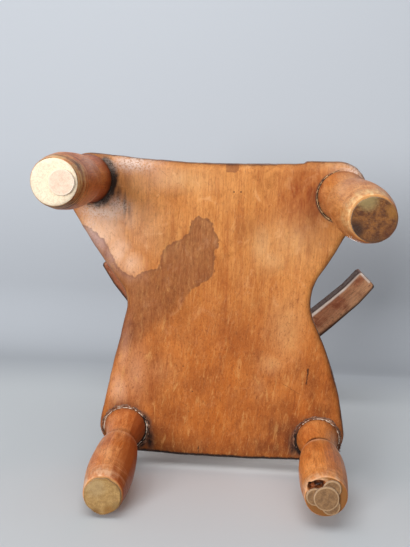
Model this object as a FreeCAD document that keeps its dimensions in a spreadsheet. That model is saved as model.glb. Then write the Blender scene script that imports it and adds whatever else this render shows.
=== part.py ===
"""A low carved chair, upright on the floor.

A waisted seat board stands on four barrel legs. Their round tenons go through the board and are wedged
from above. The back is a boomerang rail: two straight arms, lapped and pegged on a curved crest, carried by
a splat and two posts. Felt pads level the feet.

Millimetres. +Z is up, the front is -Y, and the origin is on the floor under the middle of the chair's box.
The sizes give places on the seat as x, right of its middle line, and y, back from its front edge.
"""
import FreeCAD, Part
import math
import os

import Sketcher

SIZES = {
    # Seat board
    "seat_height": 161.0,               # floor to the underside
    "seat_thickness": 30.0,
    "seat_depth": 390.5,                # front edge to the rear corners
    "front_left_corner_x": -170.0,      # middles of the four rounded corners
    "front_left_corner_y": 29.5,
    "front_right_corner_x": 145.0,
    "front_right_corner_y": 31.5,
    "front_corner_radius": 37.5,
    "rear_left_corner_x": -119.0,
    "rear_right_corner_x": 136.0,
    "rear_corner_radius": 36.5,
    "left_waist_x": -120.5,             # narrowest places of the board
    "left_waist_y": 188.0,
    "left_waist_radius": 50.0,
    "right_waist_x": 119.5,
    "right_waist_y": 174.0,
    "right_waist_radius": 65.0,
    "front_flank_radius": 1200.0,       # edges between the corners and the waist
    "left_rear_flank_radius": 3000.0,
    "right_rear_flank_radius": 480.0,
    "front_edge_radius": 1600.0,        # hollow
    "rear_edge_radius": 2700.0,         # full
    "underside_round": 10.0,
    "seat_top_round": 6.0,
    "dish_margin": 16.0,                # rim of the hollow in the seat's top to the edge at the waist
    "dish_depth": 6.0,
    "dish_setback": 7.0,                # behind the middle of the waist
    # Legs: where each meets the board, from the middle of its corner, and how far its foot stands from there
    "front_left_leg_x": -2.0,
    "front_left_leg_y": -4.5,
    "front_left_splay_x": 0.5,
    "front_left_splay_y": -3.0,
    "front_right_leg_x": 7.0,
    "front_right_leg_y": 5.5,
    "front_right_splay_x": 13.0,
    "front_right_splay_y": 13.0,
    "rear_left_leg_x": -0.5,
    "rear_left_leg_y": 2.0,
    "rear_left_splay_x": 2.5,
    "rear_left_splay_y": 18.0,
    "rear_right_leg_x": 1.0,
    "rear_right_leg_y": 4.0,
    "rear_right_splay_x": -3.0,
    "rear_right_splay_y": 3.0,
    "front_barrel_radius": 32.5,
    "front_root_inset": 0.5,            # how much slimmer than the barrel a leg is at each place
    "front_neck_inset": 6.0,
    "front_shoulder_inset": 2.5,
    "front_foot_inset": 7.5,
    "rear_barrel_radius": 28.2,
    "rear_root_inset": 0.2,
    "rear_neck_inset": 8.4,
    "rear_shoulder_inset": 4.2,
    "rear_foot_inset": 5.2,
    "neck_drop": 46.0,                  # below the seat's underside
    "shoulder_drop": 6.0,               # below the neck
    "barrel_drop": 52.0,                # below the shoulder
    "leg_tenon_radius": 17.0,
    "wedge_width": 5.0,
    "wedge_depth": 21.0,
    # Felt under the feet
    "pad_thickness": 3.0,
    "front_left_pad_radius": 14.0,
    "front_left_pad_shift": 9.0,        # off the middle of the foot, to the right
    "full_pad_inset": 1.5,              # from the edge of the foot
    "rear_right_pad_radius": 14.0,
    "small_pad_radius": 10.0,
    "small_pad_gap": 0.8,
    "small_pad_turn": 60.0,
    # Back rail
    "back_turn": 3.15,                  # the whole back is turned this much on the seat
    "crest_inset": 43.0,                # middle of the crest's curve, ahead of the rear corners
    "crest_radius": 88.0,
    "crest_half_angle": 50.25,
    "rail_rise": 272.0,                 # seat top to the rail's underside
    "rail_width": 45.0,
    "arm_tip_width": 36.0,
    "rail_depth": 46.0,
    "rail_round": 5.0,
    "left_arm_length": 236.0,
    "right_arm_length": 244.0,
    "lap_length": 52.0,
    "lap_peg_radius": 4.0,
    "lap_peg_inset": 14.0,
    "cap_rise": 22.0,                   # raised middle of the crest
    "cap_half_angle": 34.0,
    "cap_round": 8.0,
    # Splat and posts
    "splat_foot": 48.0,                 # behind the middle of the crest's curve, on the seat
    "splat_thickness": 16.0,
    "splat_foot_width": 96.0,
    "splat_waist_width": 56.0,
    "splat_head_width": 84.0,
    "splat_waist_rise": 120.0,
    "splat_foot_rise": 22.0,
    "splat_head_drop": 30.0,
    "splat_tenon_width": 46.0,
    "splat_tenon_thickness": 9.0,
    "left_post_inset": 27.0,            # across the seat from the rear corners
    "right_post_inset": 32.0,
    "post_setback": 70.0,               # ahead of the rear corners
    "post_past_lap": 22.0,              # along the arm
    "post_end_radius": 11.0,
    "post_belly_radius": 14.5,
    "post_tenon_radius": 8.0,
    "mortise_depth": 19.0,
    "joint_clearance": 0.15,
}

LEGS = ("front_left", "front_right", "rear_left", "rear_right")
SIDES = {"left": -1, "right": 1}
FULL_PADS = ("front_right", "rear_left")
SMALL_PADS = 3
SPARE = "( seat_thickness / 2 )"        # extra length that is cut off flush
SLAB_SPAN = 4.0                         # trimming slabs' width over the seat's height and rail's rise
PICK_TOLERANCE = 1e-3                   # how near an edge lies to the level that picks it

UP = FreeCAD.Vector(0, 0, 1)
DOWN = FreeCAD.Vector(0, 0, -1)

doc = FreeCAD.newDocument("low_chair")
sheet = doc.addObject("Spreadsheet::Sheet", "sizes")
sub_parts = []


def enter(name, value):
    """Adds a named size to the sheet."""
    row = len(sheet.getUsedCells()) // 2 + 1
    sheet.set(f"A{row}", name)
    sheet.set(f"B{row}", f"{value:.6g}")
    sheet.setAlias(f"B{row}", name)


for size_name, size_value in SIZES.items():
    enter(size_name, size_value)
doc.recompute()


def size(formula):
    """The value of a formula in the sheet's names."""
    return float(sheet.evalExpression(formula))


def bind(target, prop, formula):
    """Ties a property to a formula in the sheet's names."""
    words = formula.split()
    target.setExpression(prop, " ".join(f"sizes.{word}" if word[0].isalpha() else word for word in words))


def finish(piece, label):
    """Names a finished piece, which makes it a sub-part."""
    piece.Label = label
    sub_parts.append(piece)
    return piece


# Places

enter("rear_corner_y", size("seat_depth - rear_corner_radius"))
doc.recompute()
seat_top = size("seat_height + seat_thickness")
rail_floor = size("seat_height + seat_thickness + rail_rise")
crest_middle = FreeCAD.Vector(
    size("( rear_left_corner_x + rear_right_corner_x ) / 2"), size("rear_corner_y - crest_inset"), 0)
back_rotation = FreeCAD.Rotation(UP, size("back_turn"))
half_angle = math.radians(size("crest_half_angle"))


def arm_frame(side):
    """Where an arm leaves the crest's curve, its direction, and its outward normal, on the seat."""
    normal = back_rotation.multVec(FreeCAD.Vector(side * math.sin(half_angle), math.cos(half_angle), 0))
    along = back_rotation.multVec(FreeCAD.Vector(side * math.cos(half_angle), -math.sin(half_angle), 0))
    return crest_middle + normal * size("crest_radius"), along, normal


def arm_tip(name):
    """The outer corner of an arm's end, on the seat."""
    start, along, normal = arm_frame(SIDES[name])
    return start + along * size(f"{name}_arm_length") + normal * size("arm_tip_width / 2")


barrel_lean = size("front_left_splay_y * ( neck_drop + shoulder_drop + barrel_drop ) / seat_height")
box_front = size("front_left_corner_y + front_left_leg_y - front_barrel_radius") + barrel_lean
box_rear = crest_middle.y + size("crest_radius + rail_width / 2")
box_middle = FreeCAD.Vector((arm_tip("left").x + arm_tip("right").x) / 2, (box_front + box_rear) / 2, 0)


def spot(x, y, z):
    """A place on the seat, in the chair's own frame."""
    return FreeCAD.Vector(x, y, z) - box_middle


# Sketches


def sketch_on(body, plane, name, lift=None):
    """A sketch on one of the body's own planes, raised by a formula if one is given."""
    sketch = body.newObject("Sketcher::SketchObject", name)
    sketch.AttachmentSupport = [(next(f for f in body.Origin.OriginFeatures if f.Role == plane), "")]
    sketch.MapMode = "FlatFace"
    if lift:
        bind(sketch, "AttachmentOffset.Base.z", lift)
    return sketch


def dimension(sketch, kind, refs, formula):
    """A named dimension that follows a formula. On an axis, the point is held there instead."""
    if formula == "0":
        axis = {"DistanceX": -2, "DistanceY": -1}[kind]
        sketch.addConstraint(Sketcher.Constraint("PointOnObject", refs[-2], refs[-1], axis))
        return
    index = sketch.addConstraint(Sketcher.Constraint(kind, *refs, size(formula)))
    sketch.renameConstraint(index, f"size_{index}")
    bind(sketch, f"Constraints.size_{index}", formula)


def arc_between(start, end, centre):
    """The shorter arc from start to end, and which of its ends come first and last along the outline."""
    from_start = start - centre
    from_end = end - centre
    first = math.atan2(from_start.y, from_start.x)
    last = math.atan2(from_end.y, from_end.x)
    forwards = (last - first) % (2 * math.pi) < math.pi
    if not forwards:
        first, last = last, first
    circle = Part.Circle(centre, UP, from_start.Length)
    return Part.ArcOfCircle(circle, first, last), (1, 2) if forwards else (2, 1)


def outline(sketch, corners, arc_levels):
    """A closed outline through corners given as pairs of formulas.

    arc_levels gives, for the edge that starts at a corner, the height of its arc's middle. Other edges are
    straight.
    """
    points = [FreeCAD.Vector(size(x), size(y), 0) for x, y in corners]
    ends = []
    for index, start in enumerate(points):
        end = points[(index + 1) % len(points)]
        if index in arc_levels:
            level = size(arc_levels[index])
            squares = (end.x ** 2 + (end.y - level) ** 2) - (start.x ** 2 + (start.y - level) ** 2)
            centre = FreeCAD.Vector(squares / (2 * (end.x - start.x)), level, 0)
            curve, order = arc_between(start, end, centre)
        else:
            curve, order = Part.LineSegment(start, end), (1, 2)
        sketch.addGeometry(curve, False)
        ends.append(order)
    for index, (x, y) in enumerate(corners):
        following = (index + 1) % len(corners)
        sketch.addConstraint(
            Sketcher.Constraint("Coincident", index, ends[index][1], following, ends[following][0]))
        dimension(sketch, "DistanceX", (-1, 1, index, ends[index][0]), x)
        dimension(sketch, "DistanceY", (-1, 1, index, ends[index][0]), y)
        if index in arc_levels:
            dimension(sketch, "DistanceY", (-1, 1, index, 3), arc_levels[index])


def rounded_section(sketch, inner, outer, floor, top, radius):
    """An upright section with its four corners rounded."""
    low, high = f"{floor} + {radius}", f"{top} - {radius}"
    near, far = f"{inner} + {radius}", f"{outer} - {radius}"
    corners = [(near, floor), (far, floor), (outer, low), (outer, high),
               (far, top), (near, top), (inner, high), (inner, low)]
    outline(sketch, corners, {1: low, 3: high, 5: high, 7: low})


def negative(*formulas):
    """The same sizes on the other side of zero."""
    return f"0 - ( {' + '.join(formulas)} )"


# Solids


def body_named(name, place=FreeCAD.Vector(), rotation=FreeCAD.Rotation()):
    body = doc.addObject("PartDesign::Body", name)
    body.Placement = FreeCAD.Placement(place, rotation)
    return body


def pad(body, sketch, length, both_ways=False):
    feature = body.newObject("PartDesign::Pad", sketch.Name + "_pad")
    feature.Profile = sketch
    bind(feature, "Length", length)
    feature.SideType = "Symmetric" if both_ways else "One side"
    doc.recompute()
    return feature


def turn(body, sketch, angle=None):
    """The sketch turned about its upright axis: all the way, or evenly both ways by an angle's formula."""
    feature = body.newObject("PartDesign::Revolution", sketch.Name + "_turning")
    feature.Profile = sketch
    feature.ReferenceAxis = (sketch, ["V_Axis"])
    if angle:
        bind(feature, "Angle", angle)
        feature.Midplane = True
    doc.recompute()
    return feature


def at_level(value, level):
    return abs(value - level) < PICK_TOLERANCE


def round_edges(body, feature, wanted, radius):
    """Rounds the feature's edges whose middle point, in the body's own frame, is wanted."""
    names = []
    for index, edge in enumerate(feature.Shape.Edges, 1):
        middle = edge.valueAt((edge.FirstParameter + edge.LastParameter) / 2)
        if wanted(middle):
            names.append(f"Edge{index}")
    fillet = body.newObject("PartDesign::Fillet", feature.Name + "_round")
    fillet.Base = (feature, names)
    bind(fillet, "Radius", radius)
    doc.recompute()
    return fillet


def cylinder(name, radius, height, place, rotation=FreeCAD.Rotation()):
    solid = doc.addObject("Part::Cylinder", name)
    bind(solid, "Radius", radius)
    bind(solid, "Height", height)
    solid.Placement = FreeCAD.Placement(place, rotation)
    return solid


def block(name, length, width, height, place, rotation=FreeCAD.Rotation()):
    """A box whose place is the middle of its bottom."""
    solid = doc.addObject("Part::Box", name)
    for prop, formula in zip(("Length", "Width", "Height"), (length, width, height)):
        bind(solid, prop, formula)
    corner = rotation.multVec(FreeCAD.Vector(size(length) / 2, size(width) / 2, 0))
    solid.Placement = FreeCAD.Placement(place - corner, rotation)
    return solid


def slab(name, bottom, top):
    """Everything between two levels, as formulas."""
    span = f"{SLAB_SPAN} * ( seat_height + rail_rise )"
    return block(name, span, span, f"{top} - ( {bottom} )", FreeCAD.Vector(0, 0, size(bottom)))


def common(name, first, second):
    solid = doc.addObject("Part::MultiCommon", name)
    solid.Shapes = [first, second]
    return solid


def fuse(name, *solids):
    solid = doc.addObject("Part::MultiFuse", name)
    solid.Shapes = list(solids)
    return solid


def cut(name, base, tool):
    solid = doc.addObject("Part::Cut", name)
    solid.Base = base
    solid.Tool = tool
    return solid


# Seat board


class Round:
    """A circle that the seat's outline follows; hollow stretches curve inwards."""

    def __init__(self, centre, radius, hollow=False):
        self.centre = centre          # two formulas, or a worked-out point
        self.radius = radius
        self.hollow = hollow
        placed = isinstance(centre, tuple)
        self.point = FreeCAD.Vector(size(centre[0]), size(centre[1]), 0) if placed else centre

    def reach_to(self, other):
        """Distance between the middles of two circles that touch smoothly."""
        mine, theirs = size(self.radius), size(other.radius)
        return mine + theirs if self.hollow != other.hollow else abs(mine - theirs)


def round_between(before, after, radius, hollow=False):
    """The circle of a given radius that runs smoothly from one circle to the next, anticlockwise."""
    joined = Round(FreeCAD.Vector(), radius, hollow)
    to_before, to_after = joined.reach_to(before), joined.reach_to(after)
    chord = after.point - before.point
    along = (chord.Length ** 2 + to_before ** 2 - to_after ** 2) / (2 * chord.Length)
    aside = math.sqrt(to_before ** 2 - along ** 2) * (-1 if hollow else 1)
    direction = chord / chord.Length
    joined.point = before.point + direction * along + UP.cross(direction) * aside
    return joined


def touch_point(first, second):
    """Where two circles of the outline meet."""
    towards = second.point - first.point
    towards.normalize()
    mine, theirs = size(first.radius), size(second.radius)
    if first.hollow == second.hollow and mine > theirs:
        return first.point + towards * mine
    if first.hollow == second.hollow:
        return first.point - towards * mine
    return first.point + towards * mine


def seat_rounds():
    """The circles of the seat's outline, anticlockwise from the rear right corner."""
    rear_right = Round(("rear_right_corner_x", "rear_corner_y"), "rear_corner_radius")
    rear_left = Round(("rear_left_corner_x", "rear_corner_y"), "rear_corner_radius")
    front_left = Round(("front_left_corner_x", "front_left_corner_y"), "front_corner_radius")
    front_right = Round(("front_right_corner_x", "front_right_corner_y"), "front_corner_radius")
    left_waist = Round(("left_waist_x - left_waist_radius", "left_waist_y"), "left_waist_radius", True)
    right_waist = Round(("right_waist_x + right_waist_radius", "right_waist_y"), "right_waist_radius", True)
    return [
        rear_right, round_between(rear_right, rear_left, "rear_edge_radius"),
        rear_left, round_between(rear_left, left_waist, "left_rear_flank_radius"),
        left_waist, round_between(left_waist, front_left, "front_flank_radius"),
        front_left, round_between(front_left, front_right, "front_edge_radius", True),
        front_right, round_between(front_right, right_waist, "front_flank_radius"),
        right_waist, round_between(right_waist, rear_right, "right_rear_flank_radius"),
    ]


def seat_sketch(body):
    sketch = sketch_on(body, "XY_Plane", "seat_outline")
    rounds = seat_rounds()
    ends = []
    for index, circle in enumerate(rounds):
        start = touch_point(rounds[index - 1], circle)
        end = touch_point(circle, rounds[(index + 1) % len(rounds)])
        curve, order = arc_between(start, end, circle.point)
        sketch.addGeometry(curve, False)
        ends.append(order)
    for index, circle in enumerate(rounds):
        following = (index + 1) % len(rounds)
        sketch.addConstraint(
            Sketcher.Constraint("Tangent", index, ends[index][1], following, ends[following][0]))
        dimension(sketch, "Radius", (index,), circle.radius)
        if isinstance(circle.centre, tuple):
            dimension(sketch, "DistanceX", (-1, 1, index, 3), circle.centre[0])
            dimension(sketch, "DistanceY", (-1, 1, index, 3), circle.centre[1])
    return sketch


def seat_board(cutters):
    body = body_named("seat_blank", spot(0, 0, size("seat_height")))
    blank = pad(body, seat_sketch(body), "seat_thickness")
    softened = round_edges(body, blank, lambda p: at_level(p.z, 0), "underside_round")
    round_edges(body, softened, lambda p: at_level(p.z, size("seat_thickness")), "seat_top_round")
    dish = doc.addObject("Part::Sphere", "seat_dish")
    rim = "( ( right_waist_x - left_waist_x ) / 2 - dish_margin )"
    dish_curve = f"( {rim} * {rim} + dish_depth * dish_depth ) / ( 2 * dish_depth )"
    bind(dish, "Radius", dish_curve)
    dish.Placement.Base = spot(
        size("( left_waist_x + right_waist_x ) / 2"),
        size("( left_waist_y + right_waist_y ) / 2 + dish_setback"),
        seat_top + size(f"{dish_curve} - dish_depth"),
    )
    return cut("seat_cut", body, fuse("seat_cutters", dish, *cutters))


# Legs and posts: a turned piece along a leaning axis, cut off level, with a round tenon at one end or both


def leg_turning(name, end, place, rotation):
    body = body_named(f"{name}_turning", place, rotation)
    sketch = sketch_on(body, "XZ_Plane", f"{name}_profile")
    barrel = f"{end}_barrel_radius"
    root, neck, shoulder, foot = (
        f"{barrel} - {end}_{place}_inset" for place in ("root", "neck", "shoulder", "foot"))
    neck_level = negative("neck_drop")
    barrel_level = negative("neck_drop", "shoulder_drop", "barrel_drop")
    corners = [
        ("0", SPARE),
        (root, SPARE),
        (root, "0"),
        (neck, neck_level),
        (shoulder, negative("neck_drop", "shoulder_drop")),
        (barrel, barrel_level),
        (foot, negative("seat_height")),
        (foot, negative("seat_height", SPARE)),
        ("0", negative("seat_height", SPARE)),
    ]
    outline(sketch, corners, {2: neck_level, 4: barrel_level, 5: barrel_level})
    turn(body, sketch)
    return body


def wedge_prism(name, place, rotation):
    """The wedge before it is cut to its tenon: across the grain of the seat, thin edge down."""
    body = body_named(f"{name}_wedge_prism", place, rotation)
    sketch = sketch_on(body, "YZ_Plane", f"{name}_wedge_section")
    top = f"seat_thickness + {SPARE}"
    half_width = f"wedge_width / 2 * ( wedge_depth + {SPARE} ) / wedge_depth"
    corners = [("0", "seat_thickness - wedge_depth"), (half_width, top), (negative(half_width), top)]
    outline(sketch, corners, {})
    pad(body, sketch, "4 * leg_tenon_radius", both_ways=True)
    return body


def root_of(name):
    """Where a leg's axis meets the seat's underside."""
    corner_y = f"{name}_corner_y" if name.startswith("front") else "rear_corner_y"
    x, y = size(f"{name}_corner_x + {name}_leg_x"), size(f"{corner_y} + {name}_leg_y")
    return spot(x, y, size("seat_height"))


def foot_of(name):
    """Where a leg's axis meets the floor."""
    splay = FreeCAD.Vector(size(f"{name}_splay_x"), size(f"{name}_splay_y"), -size("seat_height"))
    return root_of(name) + splay


def leg(name, leg_slab, tenon_slab):
    """Makes a leg and its wedge, and returns the cutter of its mortise."""
    root = root_of(name)
    rotation = FreeCAD.Rotation(DOWN, foot_of(name) - root)
    turning = leg_turning(name, name.split("_")[0], root, rotation)
    below = root + rotation.multVec(DOWN) * size(SPARE)
    tenon_length = f"seat_thickness + 2 * {SPARE}"
    tenon = cylinder(f"{name}_tenon", "leg_tenon_radius", tenon_length, below, rotation)
    trimmed_tenon = common(f"{name}_tenon_trimmed", tenon, tenon_slab)
    prism = wedge_prism(name, root, rotation)
    whole = fuse(f"{name}_whole", common(f"{name}_trimmed", turning, leg_slab), trimmed_tenon)
    finish(cut(f"{name}_split", whole, prism), f"{name}_leg")
    finish(common(f"{name}_wedge_trimmed", prism, trimmed_tenon), f"{name}_leg_wedge")
    return cylinder(f"{name}_mortise", "leg_tenon_radius + joint_clearance", tenon_length, below, rotation)


def post(name, post_slab, tenon_slab, mortise_slab):
    """Makes a post, and returns the cutter of its two mortises."""
    start, along, _ = arm_frame(SIDES[name])
    head_on_seat = start + along * size("lap_length + post_past_lap")
    foot_x = size(f"rear_{name}_corner_x") - SIDES[name] * size(f"{name}_post_inset")
    foot = spot(foot_x, size("rear_corner_y - post_setback"), seat_top)
    head = spot(head_on_seat.x, head_on_seat.y, rail_floor)
    rotation = FreeCAD.Rotation(UP, head - foot)
    length = f"{name}_post_length"
    enter(length, (head - foot).Length)
    doc.recompute()
    body = body_named(f"{name}_post_turning", foot, rotation)
    sketch = sketch_on(body, "XZ_Plane", f"{name}_post_profile")
    half = f"{length} / 2"
    corners = [
        ("0", negative(SPARE)),
        ("post_end_radius", negative(SPARE)),
        ("post_end_radius", "0"),
        ("post_belly_radius", half),
        ("post_end_radius", length),
        ("post_end_radius", f"{length} + {SPARE}"),
        ("0", f"{length} + {SPARE}"),
    ]
    outline(sketch, corners, {2: half, 3: half})
    turn(body, sketch)
    reach = f"mortise_depth + {SPARE}"
    rod_start = foot - rotation.multVec(UP) * size(reach)
    rod_length = f"{length} + 2 * ( {reach} )"
    rod = cylinder(f"{name}_post_rod", "post_tenon_radius", rod_length, rod_start, rotation)
    shaft = common(f"{name}_post_shaft", body, post_slab)
    finish(fuse(f"{name}_post_whole", shaft, common(f"{name}_post_tenons", rod, tenon_slab)), f"{name}_post")
    bore = cylinder(
        f"{name}_post_bore", "post_tenon_radius + joint_clearance", rod_length, rod_start, rotation)
    return common(f"{name}_post_mortises", bore, mortise_slab)


# Felt pads


def felt_pads():
    for name in LEGS:
        place = foot_of(name)
        if name == "front_left":
            place.x += size("front_left_pad_shift")
        end = name.split("_")[0]
        full_radius = f"{end}_barrel_radius - {end}_foot_inset - full_pad_inset"
        radius = full_radius if name in FULL_PADS else f"{name}_pad_radius"
        finish(cylinder(f"{name}_pad", radius, "pad_thickness", place), f"{name}_felt_pad")
    small = []
    spread = size("small_pad_radius + small_pad_gap / 2") / math.sin(math.pi / SMALL_PADS)
    for index in range(SMALL_PADS):
        angle = math.radians(size("small_pad_turn") + index * 360 / SMALL_PADS)
        aside = FreeCAD.Vector(math.cos(angle), math.sin(angle), 0) * spread
        place = foot_of("rear_right") + aside + UP * size("pad_thickness")
        small.append(cylinder(f"small_pad_{index + 1}", "small_pad_radius", "pad_thickness", place))
    group = doc.addObject("Part::Compound", "small_pads")
    group.Links = small
    finish(group, "rear_right_small_felt_pads")


# Back rail


def rail_bar(body, name, stations, lift):
    """A bar of half the rail's depth along the body's X, with its half width at each station."""
    sketch = sketch_on(body, "XY_Plane", name, lift)
    right = [(x, negative(half)) for x, half in stations]
    outline(sketch, right + list(reversed(stations)), {})
    return pad(body, sketch, "rail_depth / 2")


def lap_peg_places(name):
    """Where the two pegs of a lap stand, at the rail's underside."""
    start, along, _ = arm_frame(SIDES[name])
    insets = {"inner": "lap_peg_inset", "outer": "lap_length - lap_peg_inset"}
    for peg, inset in insets.items():
        place = start + along * size(inset)
        yield peg, spot(place.x, place.y, rail_floor)


def lap_pegs(name):
    """Makes the pegs of a lap, and returns the cutters of their holes."""
    holes = []
    for peg, place in lap_peg_places(name):
        label = f"{name}_{peg}_lap_peg"
        finish(cylinder(f"{label}_rod", "lap_peg_radius", "rail_depth", place), label)
        hole_radius = "lap_peg_radius + joint_clearance"
        holes.append(cylinder(f"{label}_hole", hole_radius, "rail_depth", place))
    return holes


def rail_placement(name):
    """The frame of an arm: X along it from the crest, Z up, at the rail's underside."""
    start, along, _ = arm_frame(SIDES[name])
    heading = math.degrees(math.atan2(along.y, along.x))
    return spot(start.x, start.y, rail_floor), FreeCAD.Rotation(UP, heading)


def arm(name, cutters):
    """An arm: full depth beyond the lap, and its lower half along the lap."""
    body = body_named(f"{name}_arm_body", *rail_placement(name))
    tip, full, slim = f"{name}_arm_length", "rail_width / 2", "arm_tip_width / 2"
    beyond_lap = [("lap_length + joint_clearance", full), (tip, slim)]
    rail_bar(body, f"{name}_arm_lower", [("joint_clearance", full), *beyond_lap], None)
    bar = rail_bar(body, f"{name}_arm_upper", beyond_lap, "rail_depth / 2")
    length, depth = size(tip), size("rail_depth")

    def outer_edge(p):
        on_top_or_bottom = at_level(p.z, 0) or at_level(p.z, depth)
        return (on_top_or_bottom and not at_level(p.y, 0)) or at_level(p.x, length)

    round_edges(body, bar, outer_edge, "rail_round")
    return finish(cut(f"{name}_arm_cut", body, fuse(f"{name}_arm_cutters", *cutters)), f"{name}_arm")


def crest(cutters):
    """The crest: the rail's section turned about its curve's middle, a raised cap, and the upper laps."""
    place = spot(crest_middle.x, crest_middle.y, rail_floor)
    body = body_named("crest_body", place, back_rotation)
    inner, outer = "crest_radius - rail_width / 2", "crest_radius + rail_width / 2"
    section = sketch_on(body, "YZ_Plane", "crest_section")
    rounded_section(section, inner, outer, "0", "rail_depth", "rail_round")
    turn(body, section, "2 * crest_half_angle")
    cap_section = sketch_on(body, "YZ_Plane", "cap_section")
    cap_inner, cap_outer = f"{inner} + rail_round", f"{outer} - rail_round"
    cap_floor, cap_top = "rail_depth - cap_rise", "rail_depth + cap_rise"
    rounded_section(cap_section, cap_inner, cap_outer, cap_floor, cap_top, "cap_round")
    turn(body, cap_section, "2 * cap_half_angle")
    depth = size("rail_depth")
    tongues = []
    for name in SIDES:
        tongue = body_named(f"{name}_tongue", *rail_placement(name))
        stations = [("0", "rail_width / 2"), ("lap_length", "rail_width / 2")]
        bar = rail_bar(tongue, f"{name}_tongue_plan", stations, "rail_depth / 2")
        round_edges(tongue, bar, lambda p: at_level(p.z, depth) and not at_level(p.y, 0), "rail_round")
        tongues.append(tongue)
    whole = fuse("crest_whole", body, *tongues)
    return finish(cut("crest_cut", whole, fuse("crest_cutters", *cutters)), "crest")


# Splat


def splat(post_slab, tenon_slab, mortise_slab):
    """Makes the splat, and returns the cutter of its two mortises."""
    foot_on_seat = crest_middle + back_rotation.multVec(FreeCAD.Vector(0, size("splat_foot"), 0))
    head_on_seat = crest_middle + back_rotation.multVec(FreeCAD.Vector(0, size("crest_radius"), 0))
    foot = spot(foot_on_seat.x, foot_on_seat.y, seat_top)
    recline = math.degrees(math.atan2(size("crest_radius - splat_foot"), size("rail_rise")))
    rotation = back_rotation.multiply(FreeCAD.Rotation(FreeCAD.Vector(1, 0, 0), -recline))
    enter("splat_length", (spot(head_on_seat.x, head_on_seat.y, rail_floor) - foot).Length)
    doc.recompute()
    body = body_named("splat_body", foot, rotation)
    sketch = sketch_on(body, "XZ_Plane", "splat_outline")
    right = [
        ("splat_foot_width / 2", negative(SPARE)),
        ("splat_foot_width / 2", "splat_foot_rise"),
        ("splat_waist_width / 2", "splat_waist_rise"),
        ("splat_head_width / 2", "splat_length - splat_head_drop"),
        ("splat_head_width / 2", f"splat_length + {SPARE}"),
    ]
    left = [(negative(x), z) for x, z in reversed(right)]
    waist = "splat_waist_rise"
    outline(sketch, right + left, {1: waist, 2: waist, 6: waist, 7: waist})
    pad(body, sketch, "splat_thickness", both_ways=True)
    reach = f"mortise_depth + {SPARE}"
    board_start = foot - rotation.multVec(UP) * size(reach)
    board_length = f"splat_length + 2 * ( {reach} )"
    width, thickness = "splat_tenon_width", "splat_tenon_thickness"
    tenons = block("splat_tenons", width, thickness, board_length, board_start, rotation)
    slack = "2 * joint_clearance"
    bore = block(
        "splat_bore", f"{width} + {slack}", f"{thickness} + {slack}", board_length, board_start, rotation)
    blade = common("splat_blade", body, post_slab)
    finish(fuse("splat_whole", blade, common("splat_tenons_trimmed", tenons, tenon_slab)), "back_splat")
    return common("splat_mortises", bore, mortise_slab)


# The chair


def chair():
    underside, top = "seat_height", "seat_height + seat_thickness"
    rail = f"{top} + rail_rise"
    leg_slab = slab("leg_slab", "pad_thickness", underside)
    short_leg_slab = slab("short_leg_slab", "2 * pad_thickness", underside)
    leg_tenon_slab = slab("leg_tenon_slab", f"{underside} - {SPARE}", top)
    back_slab = slab("back_slab", top, rail)
    tenon_slab = slab("tenon_slab", f"{top} - mortise_depth", f"{rail} + mortise_depth")
    end_gap = "2 * joint_clearance"
    mortise_slab = slab(
        "mortise_slab", f"{top} - mortise_depth - {end_gap}", f"{rail} + mortise_depth + {end_gap}")
    doc.recompute()

    seat_cutters = []
    for name in LEGS:
        legs_own = short_leg_slab if name == "rear_right" else leg_slab
        seat_cutters.append(leg(name, legs_own, leg_tenon_slab))
    felt_pads()
    splat_mortises = splat(back_slab, tenon_slab, mortise_slab)
    crest_cutters = [splat_mortises]
    seat_cutters.append(splat_mortises)
    for name in SIDES:
        mortises = post(name, back_slab, tenon_slab, mortise_slab)
        holes = lap_pegs(name)
        arm(name, [mortises, *holes])
        crest_cutters += holes
        seat_cutters.append(mortises)
    crest(crest_cutters)
    finish(seat_board(seat_cutters), "seat_board")
    doc.recompute()


chair()

for thing in doc.Objects:
    if "Invalid" in thing.State or "Error" in thing.State:
        raise RuntimeError(f"{thing.Name} failed: {thing.State}")
for piece in sub_parts:
    if piece.Shape.isNull() or not piece.Shape.isValid() or not piece.Shape.Solids:
        raise RuntimeError(f"{piece.Label} has no sound shape")

os.makedirs("parts", exist_ok=True)
for piece in sub_parts:
    piece.Shape.exportStep(f"parts/{piece.Label}.step")
    print(piece.Label, len(piece.Shape.Solids), round(piece.Shape.Volume))
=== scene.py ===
"""The low carved chair, dressed: worn honey wood below, dark polish above, felt under the feet.

The chair stands upright in its frame, and the camera looks at its underside. Lengths are metres,
apart from the tables that say millimetres.
"""
import math
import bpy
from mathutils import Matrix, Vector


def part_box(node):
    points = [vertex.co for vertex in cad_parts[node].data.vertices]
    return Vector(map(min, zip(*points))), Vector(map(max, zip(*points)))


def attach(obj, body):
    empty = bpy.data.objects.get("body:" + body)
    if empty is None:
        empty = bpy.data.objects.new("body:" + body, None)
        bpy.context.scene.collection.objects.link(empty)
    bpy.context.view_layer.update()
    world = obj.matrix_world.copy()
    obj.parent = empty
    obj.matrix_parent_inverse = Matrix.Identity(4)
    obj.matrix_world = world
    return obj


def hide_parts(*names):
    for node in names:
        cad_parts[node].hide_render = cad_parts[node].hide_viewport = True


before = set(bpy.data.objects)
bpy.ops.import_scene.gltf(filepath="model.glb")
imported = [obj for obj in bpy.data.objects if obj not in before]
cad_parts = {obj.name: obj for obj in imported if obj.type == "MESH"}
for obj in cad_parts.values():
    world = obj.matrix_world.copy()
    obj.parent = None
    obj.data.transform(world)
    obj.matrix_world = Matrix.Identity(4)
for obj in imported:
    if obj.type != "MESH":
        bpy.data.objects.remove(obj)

from types import SimpleNamespace

import bmesh
import bpy
import numpy as np
from mathutils import Matrix, Vector
from mathutils.bvhtree import BVHTree
from mathutils.kdtree import KDTree

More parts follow.
